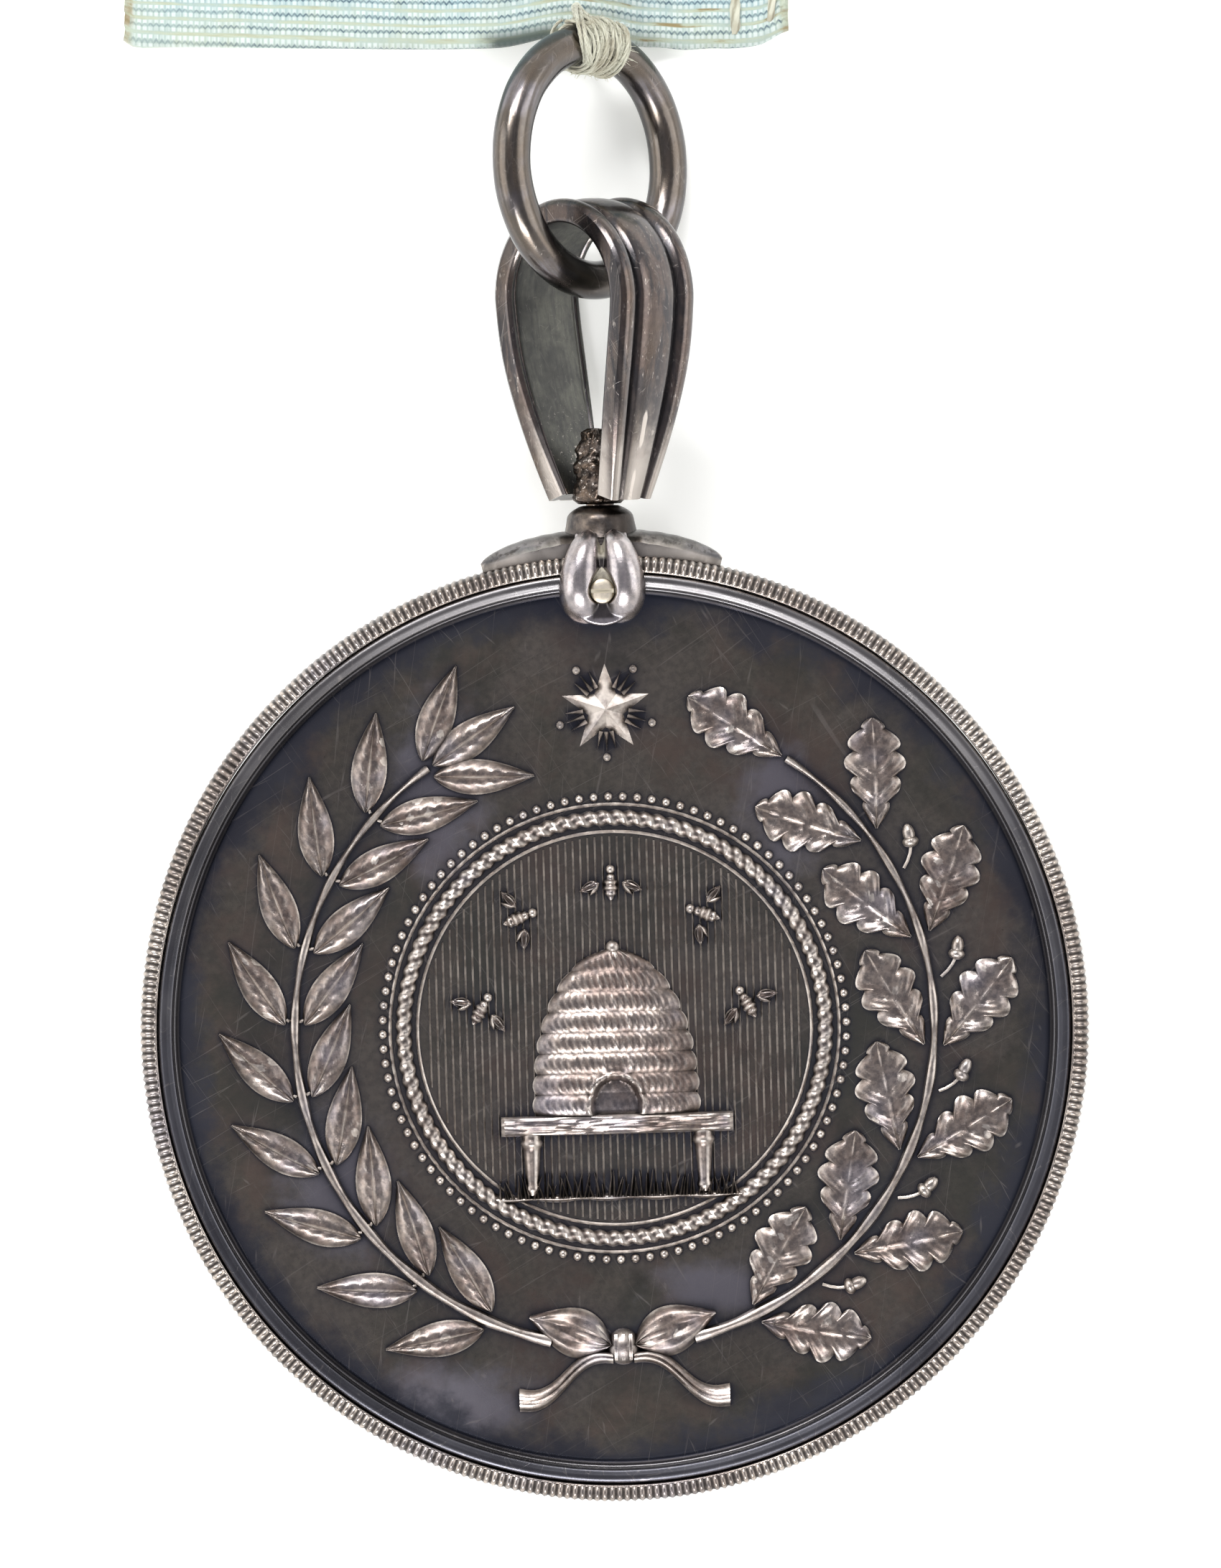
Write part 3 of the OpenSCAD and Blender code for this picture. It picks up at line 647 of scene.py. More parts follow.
def relief_dress(at, colour, rough):
    """Raised work: worn bright on its heights, toned dark where it meets the field, and painted shade with tarnish in
    its creases.
    """
    c = colours()
    patchy = between(cloud(at, 1.1, 3.0, 0.7), 0.35, 0.65, 0.9, 0.3)
    return painted(colour, (depth_mark(at) * 0.55, c.recess), (edges(at, 0.505, 0.56) * patchy, c.worn),
                   (occlusion_shade(at, 0.35, 0.8), c.recess)), rough


def reed_dress(at, colour, rough):
    """Band: bright reeds over grooves painted darker the deeper they are cut."""
    deep = depth_mark(at)
    return blend(between(deep, 0.15, 0.9, 0.92), colour, colours().recess), rough + deep * 0.3


def claw_dress(at, colour, rough):
    """Claw: cream polish left in the hollow and the slit, painted shade in the gap between its cheeks, and painted
    shade with tarnish in its creases.
    """
    c = colours()
    x, y, z = parts(at)
    beside, face = abs(x), between(abs(z), 2.0, 2.5)
    slit = fade(beside, 0.12, 0.3) * between(y, 26.7, 27.1)
    # dark and under: painted shade in the gap between the cheeks, above the screw and at their foot
    dark = fade(beside, 0.08, 0.36) * between(y, 25.8, 26.1)
    under = fade(beside, 0.5, 0.75) * fade(y, 24.15, 24.3) * between(y, 23.3, 23.5)
    polish = between(cloud(at, 2.6, 4.0, 0.7), 0.36, 0.56, 1.0, 0.45)
    left = larger(between(depth_mark(at), 0.4, 0.95), slit * face) * polish
    return painted(colour, (occlusion_shade(at, 0.6, 0.8), c.recess), (under * 0.8, c.recess),
                   (dark * face * 0.8, c.recess), (left, c.polish)), rough + left * 0.7, 1.0 - left


def leaf_dress(at, colour, rough):
    """Claw's leaves: dark grey crowns, brown grime low on their sides, a painted shadow line where they meet the band,
    and painted shade with tarnish in their creases.
    """
    c = colours()
    out = from_axis(at)
    low = fade(out + cloud(at, 1.1, 4.0, 0.7) * 0.5, 27.7, 28.0, 0.75)
    crown = between(out + cloud(at, 0.6, 3.0) * 0.4, 28.1, 28.5, 0.75)
    soot = between(cloud(at, 1.9, 5.0, 0.7, 0.4), 0.48, 0.62, 0.75)
    return painted(colour, (crown, c.recess), (low, c.groove), (soot, c.recess),
                   # Dark step close to the axis: a painted shadow line where the leaves meet the band
                   (fade(out, 27.22, 27.42, 0.85), c.recess), (edges(at, 0.52, 0.58, 0.7), c.worn),
                   (occlusion_shade(at, 0.7, 0.85), c.recess)), rough + low * 0.15


def collar_dress(at, colour, rough):
    """Collar: darker down one side, and painted shade with tarnish in its creases."""
    recess = colours().recess
    darker_side = between(parts(at)[0] + cloud(at, 0.7, 4.0, 0.65) * 3.0, 1.2, 2.3, 0.85)
    return painted(colour, (darker_side, recess), (occlusion_shade(at, 0.6, 0.8), recess)), rough


def screw_dress(at, colour, rough):
    """Screw: cream polish in its slot, and grime with painted shade round its rim."""
    c = colours()
    slot = between(depth_mark(at), 0.4, 0.8, 0.75)
    colour = painted(colour, (occlusion_shade(at, 0.3, 1.0, 1.0), c.thread_aged), (slot, c.slot))
    return colour, rough + slot * 0.3, fade(slot, 0.0, 0.9, 1.0, 0.3)


def shaded_sides(colour, top):
    """Sides of a form painted dark: painted shade that also stands for tarnish left where the form is handled and
    wiped on its crests.
    """
    facing = parts(put(colour.tree, "TexCoord", (), "Normal"))[2]
    return blend(fade(abs(facing), 0.25, 0.88, top), colour, colours().groove)


def strap_dress(at, colour, rough):
    """Bail: painted shade and tarnish on its sides, blue black in its grooves, worn along its ribs, and worn bright
    with a painted highlight at its feet.
    """
    c = colours()
    deep, up = depth_mark(at), parts(at)[1]
    lain = stretched(at, 0.8, 0.16, 0.8)
    soot = between(cloud(lain, 1.0, 5.0, 0.65, 0.5), 0.46, 0.6, 0.8) * between(up, 2.0, 8.0, 1.0, 0.3)
    # foot: wear and a painted highlight low on the legs, where the curving strap catches the lamps
    foot = fade(up + cloud(at, 0.9, 3.0) * 4.0, 3.5, 7.5, 0.6) * fade(deep, 0.05, 0.3)
    glint = between(cloud(lain, 6.0, 3.0, 0.8), 0.62, 0.7, 0.45)
    return painted(shaded_sides(colour, 0.6), (between(deep, 0.3, 0.95, 0.85), c.groove), (soot, c.groove),
                   (foot, c.worn), (edges(at, 0.55, 0.64, 0.8), c.worn), (glint, c.worn)), rough


def inside_dress(at, colour, rough):
    """Inside of the bail: matt streaks along the strap, and glints of solder near its foot."""
    c = colours()
    streak = between(cloud(stretched(at, 3.0, 0.12, 3.0), 1.2, 3.0, 0.6), 0.4, 0.65, 0.4)
    glint = between(cloud(at, 3.2, 3.0, 0.8), 0.6, 0.68) * fade(parts(at)[1], 1.0, 7.0)
    return painted(colour, (streak, c.groove), (glint, c.worn)), rough


def solder_dress(at, colour, rough):
    """Burnt brown lump with painted glints of its crystals."""
    return blend(between(cloud(at, 4.5, 3.0, 0.8), 0.58, 0.66), colour, colours().worn), rough


def ring_dress(at, colour, rough):
    """Ring: brown streaks along the wire, and painted shade with tarnish on its sides."""
    x, y, z = parts(at)
    lain = point(sums("ARCTAN2", y, x) * 1.6, from_axis(at) * 2.6, z * 2.6)
    streak = between(cloud(lain, 1.2, 4.0, 0.6), 0.42, 0.62, 0.65)
    return shaded_sides(blend(streak, colour, colours().collar), 0.85), rough + streak * 0.1


def thread_dress(colour, height):
    """Darker between the plies of a thread."""
    ply_darkened = blend(0.75, colour, colours().thread_aged, "MULTIPLY")
    return blend(between(depth_mark(colour), 0.35, 1.0, 0.8), colour, ply_darkened), height


def ribbon_dress(colour, height):
    """Weave of a rib: a scalloped navy line between two rows of white dots, and a stained pale band."""
    c = colours()
    across, along, _ = parts(put(colour.tree, "UVMap", uv_map="weave"))
    across, along = across * WEAVE_MAP[0], along * WEAVE_MAP[1]
    along = along - 0.11 + cloud(point(across * 0.35, along), 1.0, 3.0, 0.6) * 0.22
    rib = fract(along / RIB)
    off_dot = abs(fract(across / 0.33) - 0.5)
    rung = point(across * 3.0, along * 0.5)
    streaks = point(across * 0.34, along * 1.3)
    soiled, patchy = cloud(streaks, 1.0, 4.0, 0.65), cloud(rung, 0.9, 2.0, 0.6)
    band = fade(abs(rib - 0.5), 0.12, 0.24)
    blot = between(soiled, 0.52, 0.64) * band * between(across, 21.0, 30.0, 1.0, 0.25)
    paint = painted(colour, (between(cloud(rung, 1.0, 3.0, 0.7), 0.35, 0.65, 0.6), c.ribbon_white),
                    (between(along, RIBBON_L - 5.0, RIBBON_L - 1.0, 0.5), c.ribbon_cream),
                    (band * between(soiled, 0.38, 0.55, 0.9, 0.25), c.ribbon_cream), (blot * 0.85, c.stain))
    for row in (0.19, 0.81):
        spot = fade(abs(rib - row), 0.06, 0.16) * fade(off_dot, 0.22, 0.44, 1.0, 0.1)
        spot = spot * between(patchy, 0.3, 0.6, 0.75, 0.2)
        paint = blend(spot, paint, c.ribbon_dot)
        height = height + spot * 0.8
    line = fade(abs(fract(rib + 0.5) - 0.44 - off_dot * 0.24), 0.02, 0.085)
    ink = line * between(across, 0.0, 12.0, 0.85, 0.4) * fade(patchy, 0.3, 0.65, 1.0, 0.45)
    ragged = abs(across - (TIE_U - 3.0)) + cloud(streaks, 3.0, 3.0) * 1.5
    # fold: painted shadow where the ribbon turns under beside the tie
    fold = between(along, RIBBON_L - 2.1, RIBBON_L - 1.2) * fade(ragged, 2.0, 3.6, 0.9)
    ends = between(abs(across - RIBBON_W / 2) + patchy * 0.8, 18.7, 19.2, 0.8)
    return painted(paint, (ink, c.ribbon_navy), (fold, c.ribbon_fold),
                   (ends, blend(between(soiled, 0.4, 0.6), c.ribbon_cream, c.stain))), height


def build_finishes():
    for shared in (toned_surface, hairlines, yarn):
        shared()
    c = colours()
    # Name, frame, silver, toning, bloom; scale of the clouds, toning, specks, roughness, scratches, bump, mottle
    for row in (
            ("Toned field", ON_MEDAL, c.field, c.field_brown, c.field_brown, 0.11, 0.95, 0.5, 0.19, 0.4, 0.16, 0.4,
             field_dress),
            ("Struck relief", ON_MEDAL, c.silver, c.relief_tone, c.violet, 0.35, 0.9, 0.3, 0.25, 0.1, 0.5, 1.0,
             relief_dress),
            ("Reeded silver", ON_MEDAL, c.band, c.relief_tone, c.violet, 0.12, 0.6, 0.3, 0.2, 0.0, 0.3, 1.0,
             reed_dress),
            ("Claw silver", ON_MEDAL, c.claw, c.relief_tone, c.violet, 0.3, 0.45, 0.35, 0.21, 0.2, 0.25, 0.5,
             claw_dress),
            ("Claw edge", ON_MEDAL, c.rim, c.field_brown, c.silver, 0.4, 0.8, 0.5, 0.14, 0.3, 0.12, 0.35,
             leaf_dress),
            ("Brown collar", ON_MEDAL, c.collar, c.groove, c.bail, 0.45, 0.8, 0.5, 0.24, 0.1, 0.5, 1.0,
             collar_dress),
            ("Screw steel", ON_MEDAL, c.screw, c.polish, c.worn, 0.8, 0.5, 0.2, 0.42, 0.2, 0.3, 0.5, screw_dress),
            ("Bail silver", IN_BAIL, c.bail, c.relief_tone, c.solder, 0.3, 0.7, 0.4, 0.13, 0.5, 0.2, 0.35,
             strap_dress),
            ("Bail inside", IN_BAIL, c.bail_inside, c.groove, c.bail_inside, 0.5, 0.5, 0.3, 0.42, 0.3, 0.2, 0.2,
             inside_dress),
            ("Solder", IN_BAIL, c.solder, c.recess, c.bail, 1.4, 0.9, 0.7, 0.2, 0.0, 0.9, 1.0, solder_dress),
            ("Ring silver", IN_RING, c.ring, c.collar, c.violet, 0.4, 0.5, 0.5, 0.12, 0.4, 0.18, 0.25, ring_dress),
            ("Bar metal", ON_CLOTH, c.bar, c.rim, c.bar, 0.5, 0.18, 0.3, 0.3, 0.5, 0.12, 0.15)):
        metal(*row)
    soft("Cream thread", ON_TABLE, c.thread, c.thread_aged, thread_dress)
    soft("Ribbed ribbon", ON_CLOTH, c.ribbon, c.ribbon_cream, ribbon_dress)
    tree, shader = fresh("White table")
    grain = between(cloud(put(tree, "TexCoord", (), "Object"), 900.0, 2.0), 0.3, 0.7, 0.04)
    for label, value in (("Base Color", blend(grain, c.table, (0.8, 0.8, 0.8))), ("Roughness", 0.7),
                         ("Emission Color", (0.97, 0.99, 0.93)), ("Emission Strength", 0.28)):
        feed(shader[label], value)


# The disc

FIELD_Z = 1.3


def on_field(x=0.0, y=0.0, heading=0.0):
    return moved(x, y, FIELD_Z, heading)


def flan():
    """Flan with a dished field, a groove and a rounded rim, alike on both sides."""
    front = [(0, FIELD_Z)] + [(r, FIELD_Z + 0.07 * ease((r - 20) / 5)) for r in range(2, 24)]
    front += [(24.5, 1.36), (24.75, 1.35), (24.85, 1.29), (24.92, 1.22), (25.0, 1.19), (25.08, 1.21),
              (25.13, 1.3), (25.145, 1.6), (25.155, 2.05), (25.17, 2.15), (25.2, 2.205), (25.26, 2.235),
              (25.34, 2.255), (25.44, 2.29), (25.54, 2.32), (25.62, 2.325), (25.7, 2.32), (25.8, 2.295),
              (25.88, 2.25), (25.94, 2.17), (25.97, 2.05)]
    return fine_lathe(front + [(r, -z) for r, z in reversed(front)], 288)


def laurel_leaf(bm, at, long, wide, bend):
    """Laurel leaf with a midrib and veins, along X from its stalk."""
    def plan(u, t):
        return long * u, t * (0.06 + wide / 2 * sin(PI * u ** 0.78)) + bend * long * u * u

    def rise(u, t):
        crest = 0.63 * (0.5 + 0.5 * sin(PI * 0.944 * u))
        far = abs(t)
        body = 0.15 + (crest - 0.15) * (1 - far ** 1.9)
        rib = 0.13 * bell(t, 0.09) - 0.1 * bell(t, 0.3)
        phase = (7 * u - 1.6 * far) % 1
        vein = 0.07 * bell(phase - 0.5, 0.15) * sin(PI * u) * ease((far - 0.1) * 4) * (1.05 - far)
        return body + rib + vein

    raised(bm, at, 42, 18, plan, rise)


def oak_leaf(bm, at, long, wide, bend):
    """Oak leaf: round lobes, and a vein that runs out into each."""
    lobes = 4.5

    def plan(u, t):
        swell = 0.6 + 0.42 * abs(sin(PI * lobes * u)) ** 0.55
        half = 0.08 + wide / 2 * sin(PI * u ** 1.25) ** 0.75 * swell
        sweep = 0.6 * abs(t) ** 1.4 * sin(PI * u)
        return long * u + sweep - 0.06 * long * sin(PI * u), t * half + bend * long * u * u

    def rise(u, t):
        far = abs(t)
        crest = 0.55 * (0.5 + 0.5 * sin(PI * 0.93 * u))
        body = 0.16 + (crest - 0.16) * (1 - far ** 3) * (1 - 0.3 * (1 - far) ** 2)
        rib = 0.13 * bell(t, 0.07) * (1 - 0.5 * u)
        phase = (lobes * u - 0.55 * far) % 1
        vein = 0.09 * bell(phase - 0.5, 0.09) * (1 - far) ** 0.5
        fold = 0.1 * bell(min(phase, 1 - phase), 0.12) * far
        return body + rib + (vein - fold) * sin(PI * u) * min(1, 5 * far)

    raised(bm, at, 64, 24, plan, rise)


# Angles on the wreath are in degrees from its bottom
STEM_FROM, BRANCH_FROM, BRANCH_TO = 13.0, 25.0, 146.0


def branch_at(a, off=0.0):
    """Place on a branch, or a little outside it."""
    r = sizes().wreath_r / MM + off
    return Vector((-r * sin(radians(a)), -r * cos(radians(a))))


def beside_stem(a, side, off=0.55, spread=37.0):
    """Place beside a branch, outside for side 1, with X spread away from the branch."""
    return on_field(*branch_at(a, side * off), 180 - a + side * spread)


def stem(bm, mirror):
    """Woody stem along the branch, thick at its foot, with a swelling at each pair of leaves."""
    def plan(u, t):
        spot = branch_at(STEM_FROM + (BRANCH_TO - STEM_FROM) * u)
        half = 0.34 - 0.16 * u + 0.05 * cos(TURN * 10 * u)
        return spot * (1 + t * half / spot.length)

    raised(bm, mirror @ on_field(), 90, 6, plan, lambda u, t: 0.12 + 0.36 * dome(t))


def wreath_branch(bm, leaf, long, wide, bend, pairs, gaps, mirror):
    """A branch with its pairs of leaves and the leaf at its tip."""
    stem(bm, mirror)
    for i in range(pairs):
        for side in (-1, 1):
            at = beside_stem(BRANCH_FROM + i * (BRANCH_TO - BRANCH_FROM) / gaps, side)
            leaf(bm, mirror @ at, long / MM, wide / MM, -bend * side)
    leaf(bm, mirror @ on_field(*branch_at(BRANCH_TO + 1), 180 - BRANCH_TO), long / MM, wide / MM, 0.0)


def stalk(bm, at, long, bend, thick):
    points = [at @ Vector((-long * k / 4, -bend * (k / 4) ** 2, 0.12)) for k in range(5)]
    strand(bm, points, thick, Vector((0, 0, 1)), 1, 0, 6)


def berries(bm):
    """Berries on the laurel side and acorns on the oak side."""
    for i in range(8):
        for side, push in ((1, 1.5), (-1, 1.35)):
            at = beside_stem(42 + 13.4 * i, side, push, 0)
            ball(bm, at @ moved(z=0.1), 0.36, rings=7, deep=0.1)
            stalk(bm, at, 0.9, side * push * 0.8, 0.09)
    for a in range(41, 122, 20):
        at = MIRRORED @ beside_stem(a, 1, 1.75, 20)
        ball(bm, at @ moved(0.35, 0, 0.12), 0.4, (1.45, 0.9, 0.9), 8, 0.1)
        ball(bm, at @ moved(-0.1, 0, 0.12), 0.46, (0.75, 1.05, 1.0), 8, 0.3)
        stalk(bm, at, 1.5, 0.7, 0.1)


def bow(bm):
    """Bow that ties the branches: two folded loops, two tails and a knot."""
    at = on_field(0, -18.2)

    def loop_rise(u, t):
        far = abs(t)
        hollow = 0.42 * hump(u - 0.62, 0.36) * hump(far, 0.72)
        pleat = 0.07 * cos(TURN * 3 * far) * (1 - u) * (1 - far)
        return max(0.14 + 0.56 * (1 - far ** 3) - hollow + pleat, 0.06)

    def tail_rise(u, t):
        return 0.14 + 0.4 * (1 - abs(t) ** 3) * (0.8 + 0.2 * cos(TURN * u)) - 0.1 * hump(t, 0.3)

    for mirror in (Matrix.Identity(4), MIRRORED):
        raised(bm, mirror @ at @ moved(0.7, 0.15, 0, 20), 28, 20,
               lambda u, t: (4.9 * u, t * (0.07 + 1.35 * sin(PI * u ** 0.78))), loop_rise)
        raised(bm, mirror @ at, 30, 12,
               lambda u, t: (0.6 + 5.4 * u, -0.6 - 2.3 * u + 0.5 * sin(TURN * u) + t * (0.36 + 0.3 * u)), tail_rise)
    ball(bm, at @ moved(z=-0.35), 1.12, (0.95, 1.0, 1.0), 12, 0.2)
    for x in (-0.42, 0.0, 0.42):
        raised(bm, at @ moved(x, 0, 0.1), 12, 4, lambda u, t: (t * 0.09, (u - 0.5) * 1.5),
               lambda u, t: 0.62 * sin(PI * (0.1 + 0.8 * u)) ** 0.4)


def star(bm):
    """Five-pointed star with a ridge down each ray, and a pearl and three strokes between its rays."""
    at = on_field(0, 18.2, 90)
    peak, notch = 0.55, 0.4
    deep = depths(bm)
    made = bmesh.ops.create_cone(bm, cap_ends=True, segments=10, radius1=2.7, radius2=0, depth=peak)["verts"]
    rim = sorted((v for v in made if v.co.xy.length > 0.1), key=lambda v: atan2(v.co.y, v.co.x) % TURN)
    upright = Matrix.Rotation(-atan2(rim[1].co.y, rim[1].co.x), 4, "Z")
    for v in rim:
        v[deep] = 0.9
    for v in rim[::2]:
        v.co.xy *= notch
    for v in made:
        v.co = at @ upright @ (v.co + Vector((0, 0, peak / 2 - 0.02)))
    for i in range(5):
        a = TURN * (i + 0.5) / 5
        ball(bm, at @ Matrix.Translation(polar(2.75, a, 0.05)), 0.24, rings=6)
        for lean, long in ((-13, 1.0), (0, 1.1), (13, 1.0)):
            ray = at @ Matrix.Rotation(a + radians(lean), 4, "Z") @ moved(1.3)
            raised(bm, ray, 6, 4, lambda u, t: (long * u, t * 0.11 * (1.1 - u)), lambda u, t: 0.42 - 0.12 * abs(t),
                   0.0)


def border(bm):
    """Twisted cord between two fine lines, and a row of pearls outside it."""
    r = 12.0
    strand(bm, [polar(r, TURN * i / 480, FIELD_Z) for i in range(481)], 0.5, Vector((0, 0, 1)), 2, 48, 12,
           closed=True)
    for line in (r - 0.78, r + 0.78):
        ridge = ((-0.1, -0.1), (-0.09, 0.06), (0, 0.13), (0.09, 0.06), (0.1, -0.1))
        join(bm, fine_lathe([(line + x, FIELD_Z + z) for x, z in ridge], 240, 0.25))
    for i in range(100):
        ball(bm, Matrix.Translation(polar(1.1 * r, TURN * i / 100, FIELD_Z + 0.02)), 0.27, rings=5, deep=0.15)


HIVE_Y, HIVE_WIDE, HIVE_TALL, COILS = -4.9, 9.6, 9.4, 8


def beehive(bm):
    """Coiled straw hive with the strokes of its straw, the cane that binds it, and an arched door."""
    def half(u):
        return HIVE_WIDE / 2 * sqrt(max(1 - u ** 2.4, 0.012))

    def coil(u):
        return abs(sin(PI * COILS * u))

    def plan(u, t):
        return t * half(u) * (0.94 + 0.06 * coil(u) ** 0.6), HIVE_Y + HIVE_TALL * u

    def rise(u, t):
        x = t * half(u)
        curve = dome(t, 0.62, 2.6)
        swell = 0.85 * (0.35 + 0.65 * dome(u))
        straw = 0.035 * cos(TURN * (x * 2.6 + COILS * u * 1.1))
        binding = 0.05 * hump((x * 0.62 + 0.5 * (COILS * u // 1)) % 1 - 0.5, 0.2)
        from_door = hypot(x, max(HIVE_TALL * u - 0.5, 0) * 0.85)
        z = curve * (swell * (0.8 + 0.2 * coil(u) ** 0.7) + (straw + binding) * coil(u))
        return max(z * (1 - 0.72 * ease((1.5 - from_door) / 0.3)) + 0.08 * hump(from_door - 1.62, 0.24), 0.05)

    raised(bm, on_field(), 88, 104, plan, rise)
    ball(bm, on_field(0, HIVE_Y + HIVE_TALL + 0.1), 0.42, rings=8, deep=0.2)


def bench(bm):
    """Plank on two turned legs, over a strip of ground with grass."""
    def plank_rise(u, t):
        edge = min(1, (1 - abs(t)) * 5, u * 60, (1 - u) * 60)
        return 0.5 + 0.2 * ease(edge) + 0.03 * sin(9 * t + 2.2 * sin(TURN * 1.5 * u)) + 0.02 * sin(23 * t + 7 * u)

    def leg_half(u):
        return 0.58 - 0.26 * u + 0.12 * hump(u - 0.16, 0.1) + 0.1 * hump(u - 0.9, 0.1)

    raised(bm, on_field(0, HIVE_Y - 0.55), 70, 14, lambda u, t: (13.2 * (u - 0.5), 0.55 * t), plank_rise)
    for x in (-4.9, 4.9):
        raised(bm, on_field(x, HIVE_Y - 1.0, -90), 30, 10, lambda u, t: (3.5 * u, t * leg_half(u)),
               lambda u, t: 0.08 + 1.05 * leg_half(u) * dome(t))
    raised(bm, on_field(0, -9.62), 90, 8, lambda u, t: (14 * (u - 0.5), 0.24 * t * (0.75 + 0.25 * sin(31 * u))),
           lambda u, t: 0.12 + 0.3 * (1 - t * t) * (0.85 + 0.15 * sin(57 * u)))
    chance = random.Random(3)
    for i in range(58):
        x = -6.7 + 13.4 * i / 57 + chance.uniform(-0.08, 0.08)
        lean, tall = chance.uniform(-22, 22), chance.uniform(0.7, 1.5)
        raised(bm, on_field(x, -9.6, 90 + lean), 6, 4, lambda u, t: (tall * u, t * 0.1 * (1.05 - u)),
               lambda u, t: 0.36 + 0.22 * (1 - u) * (1 - abs(t)))


def bee(bm, x, y, heading):
    """Bee with a ringed body, a head, and veined wings held back."""
    at = on_field(x, y, heading)

    def ringed(u, share):
        return 1 - share + share * cos(TURN * 5 * u)

    raised(bm, at @ moved(-0.9), 32, 10,
           lambda u, t: (1.75 * u, t * (0.05 + 0.38 * sin(PI * u ** 0.85) * ringed(u, 0.1))),
           lambda u, t: 0.08 + 0.46 * sin(PI * (0.06 + 0.88 * u)) * dome(t) * ringed(u, 0.14))
    ball(bm, at @ moved(0.86, 0, 0.12), 0.27, rings=8, deep=0.15)
    for side in (-1, 1):
        wing = at @ moved(0.1, side * 0.66, 0, side * 112)
        raised(bm, wing, 16, 12, lambda u, t: (1.2 * u, t * (0.04 + 0.27 * sin(PI * u ** 0.8))),
               lambda u, t: 0.2 + 0.26 * (1 - t * t) + 0.06 * cos(TURN * 2.2 * t) * sin(PI * u))
        raised(bm, wing @ moved(turn=side * 30), 10, 6,
               lambda u, t: (0.85 * u, t * 0.18 * sin(PI * (0.05 + 0.9 * u))), lambda u, t: 0.18 + 0.24 * (1 - t * t))


def hatching(bm):
    """Fine upright lines on the ground inside the border."""
    pitch, reach = 0.42, 10.95
    for i in range(-25, 26):
        x = i * pitch
        tall = sqrt(reach * reach - x * x)
        raised(bm, on_field(x, -tall, 90), 1, 2, lambda u, t: (2 * tall * u, t * 0.06),
               lambda u, t: 0.07 * (1 - abs(t)), -0.05)


class MEDAL_OT_disc(bpy.types.Operator):
    """Strike the disc: its flan, and the relief of wreath, hive and bees"""
    bl_idname = "medal.disc"
    bl_label = "Disc"

    def execute(self, context):
        finish("struck_flan", flan())
        bm = form()
        s = sizes()
        wreath_branch(bm, laurel_leaf, s.laurel_long, s.laurel_wide, 0.035, 10, 9, Matrix.Identity(4))
        wreath_branch(bm, oak_leaf, s.oak_long, s.oak_wide, 0.03, 6, 6, MIRRORED)
        for made in (berries, bow, star):
            made(bm)
        finish("wreath_relief", bm)
        bm = form()
        for made in (border, hatching, beehive, bench):
            made(bm)
        for spot in ((-7.6, 1.2, 60), (7.6, 1.2, 120), (-5.3, 6.4, 20), (5.3, 6.4, 160), (0, 8.2, 90)):
            bee(bm, *spot)
        finish("beehive_relief", bm)
        return {"FINISHED"}


# The band

REEDS = 392
REED_CUT = (0.0, 0.45, 1.0, 0.8, 0.25)


class MEDAL_OT_band(bpy.types.Operator):
    """Turn the band and cut its reeds over the face and the edge"""
    bl_idname = "medal.band"
    bl_label = "Reeded band"

    def execute(self, context):
        front = [(26.02, 0), (26.02, 1.2), (26.02, 2.36), (26.04, 2.42), (26.08, 2.45), (26.12, 2.46), (26.17, 2.5),
                 (26.23, 2.54), (26.32, 2.58), (26.45, 2.6), (26.6, 2.59), (26.72, 2.55), (26.83, 2.47),
                 (26.91, 2.36), (26.96, 2.22), (26.99, 2.05), (27.0, 1.8), (27.0, 0.9), (27.0, 0)]
        steps = len(REED_CUT)
        bm = fine_lathe(front[::-1] + [(r, -z) for r, z in front[1:-1]], REEDS * steps)
        deep = depths(bm)
        for v in bm.verts:
            r = v.co.xy.length
            step = round(atan2(v.co.y, v.co.x) * REEDS * steps / TURN) % steps
            cut = REED_CUT[step] * ease((r - 26.1) / 0.08)
            wear = 0.85 + 0.3 * noise.noise(Vector((v.co.x, v.co.y, 0)) * 0.35)
            over = ease((r - 26.5) / 0.45)
            v[deep] = cut
            v.co.xy *= 1 - 0.13 * cut * over * wear / r
            v.co.z -= copysign(0.15 * cut * (1 - 0.6 * over) * wear, v.co.z) * ease(abs(v.co.z) / 2)
        finish("reeded_band", bm)
        return {"FINISHED"}


# The claw

SCREW_Y = 24.97
LOBE_FLOOR = 3.05

# Sections down a cheek: height, middle across and out, half sizes across and out
CHEEK = ((28.45, 0.7, 2.2, 0.1, 0.15), (28.2, 0.78, 2.3, 0.45, 0.5), (27.7, 0.92, 2.45, 0.78, 0.88),
         (26.8, 1.12, 2.68, 1.0, 1.06), (25.7, 1.26, 2.74, 1.15, 1.19), (24.7, 1.27, 2.63, 1.18, 1.18),
         (23.85, 1.17, 2.42, 1.02, 0.97), (23.3, 1.02, 2.22, 0.66, 0.55), (23.08, 0.95, 2.15, 0.12, 0.1))


def smooth_row(rows, s):
    """Row of values at a share s of the way through rows, on a smooth curve through them."""
    last = len(rows) - 1
    i = min(int(s * last), last - 1)
    t = s * last - i
    before, a, b, after = rows[max(i - 1, 0)], rows[i], rows[i + 1], rows[min(i + 2, last)]
    return [q + 0.5 * t * (r - p + t * (2 * p - 5 * q + 4 * r - w + t * (3 * (q - r) + w - p)))
            for p, q, r, w in zip(before, a, b, after)]


def bulb(bm, side, front):
    """One rounded cheek of a lobe."""
    def place(s, t):
        y, x, z, half_x, half_z = smooth_row(CHEEK, s)
        return Vector((side * (x + half_x * sin(TURN * t)), y, front * (z + half_z * cos(TURN * t)))), 0

    loft(bm, 48, 48, place)


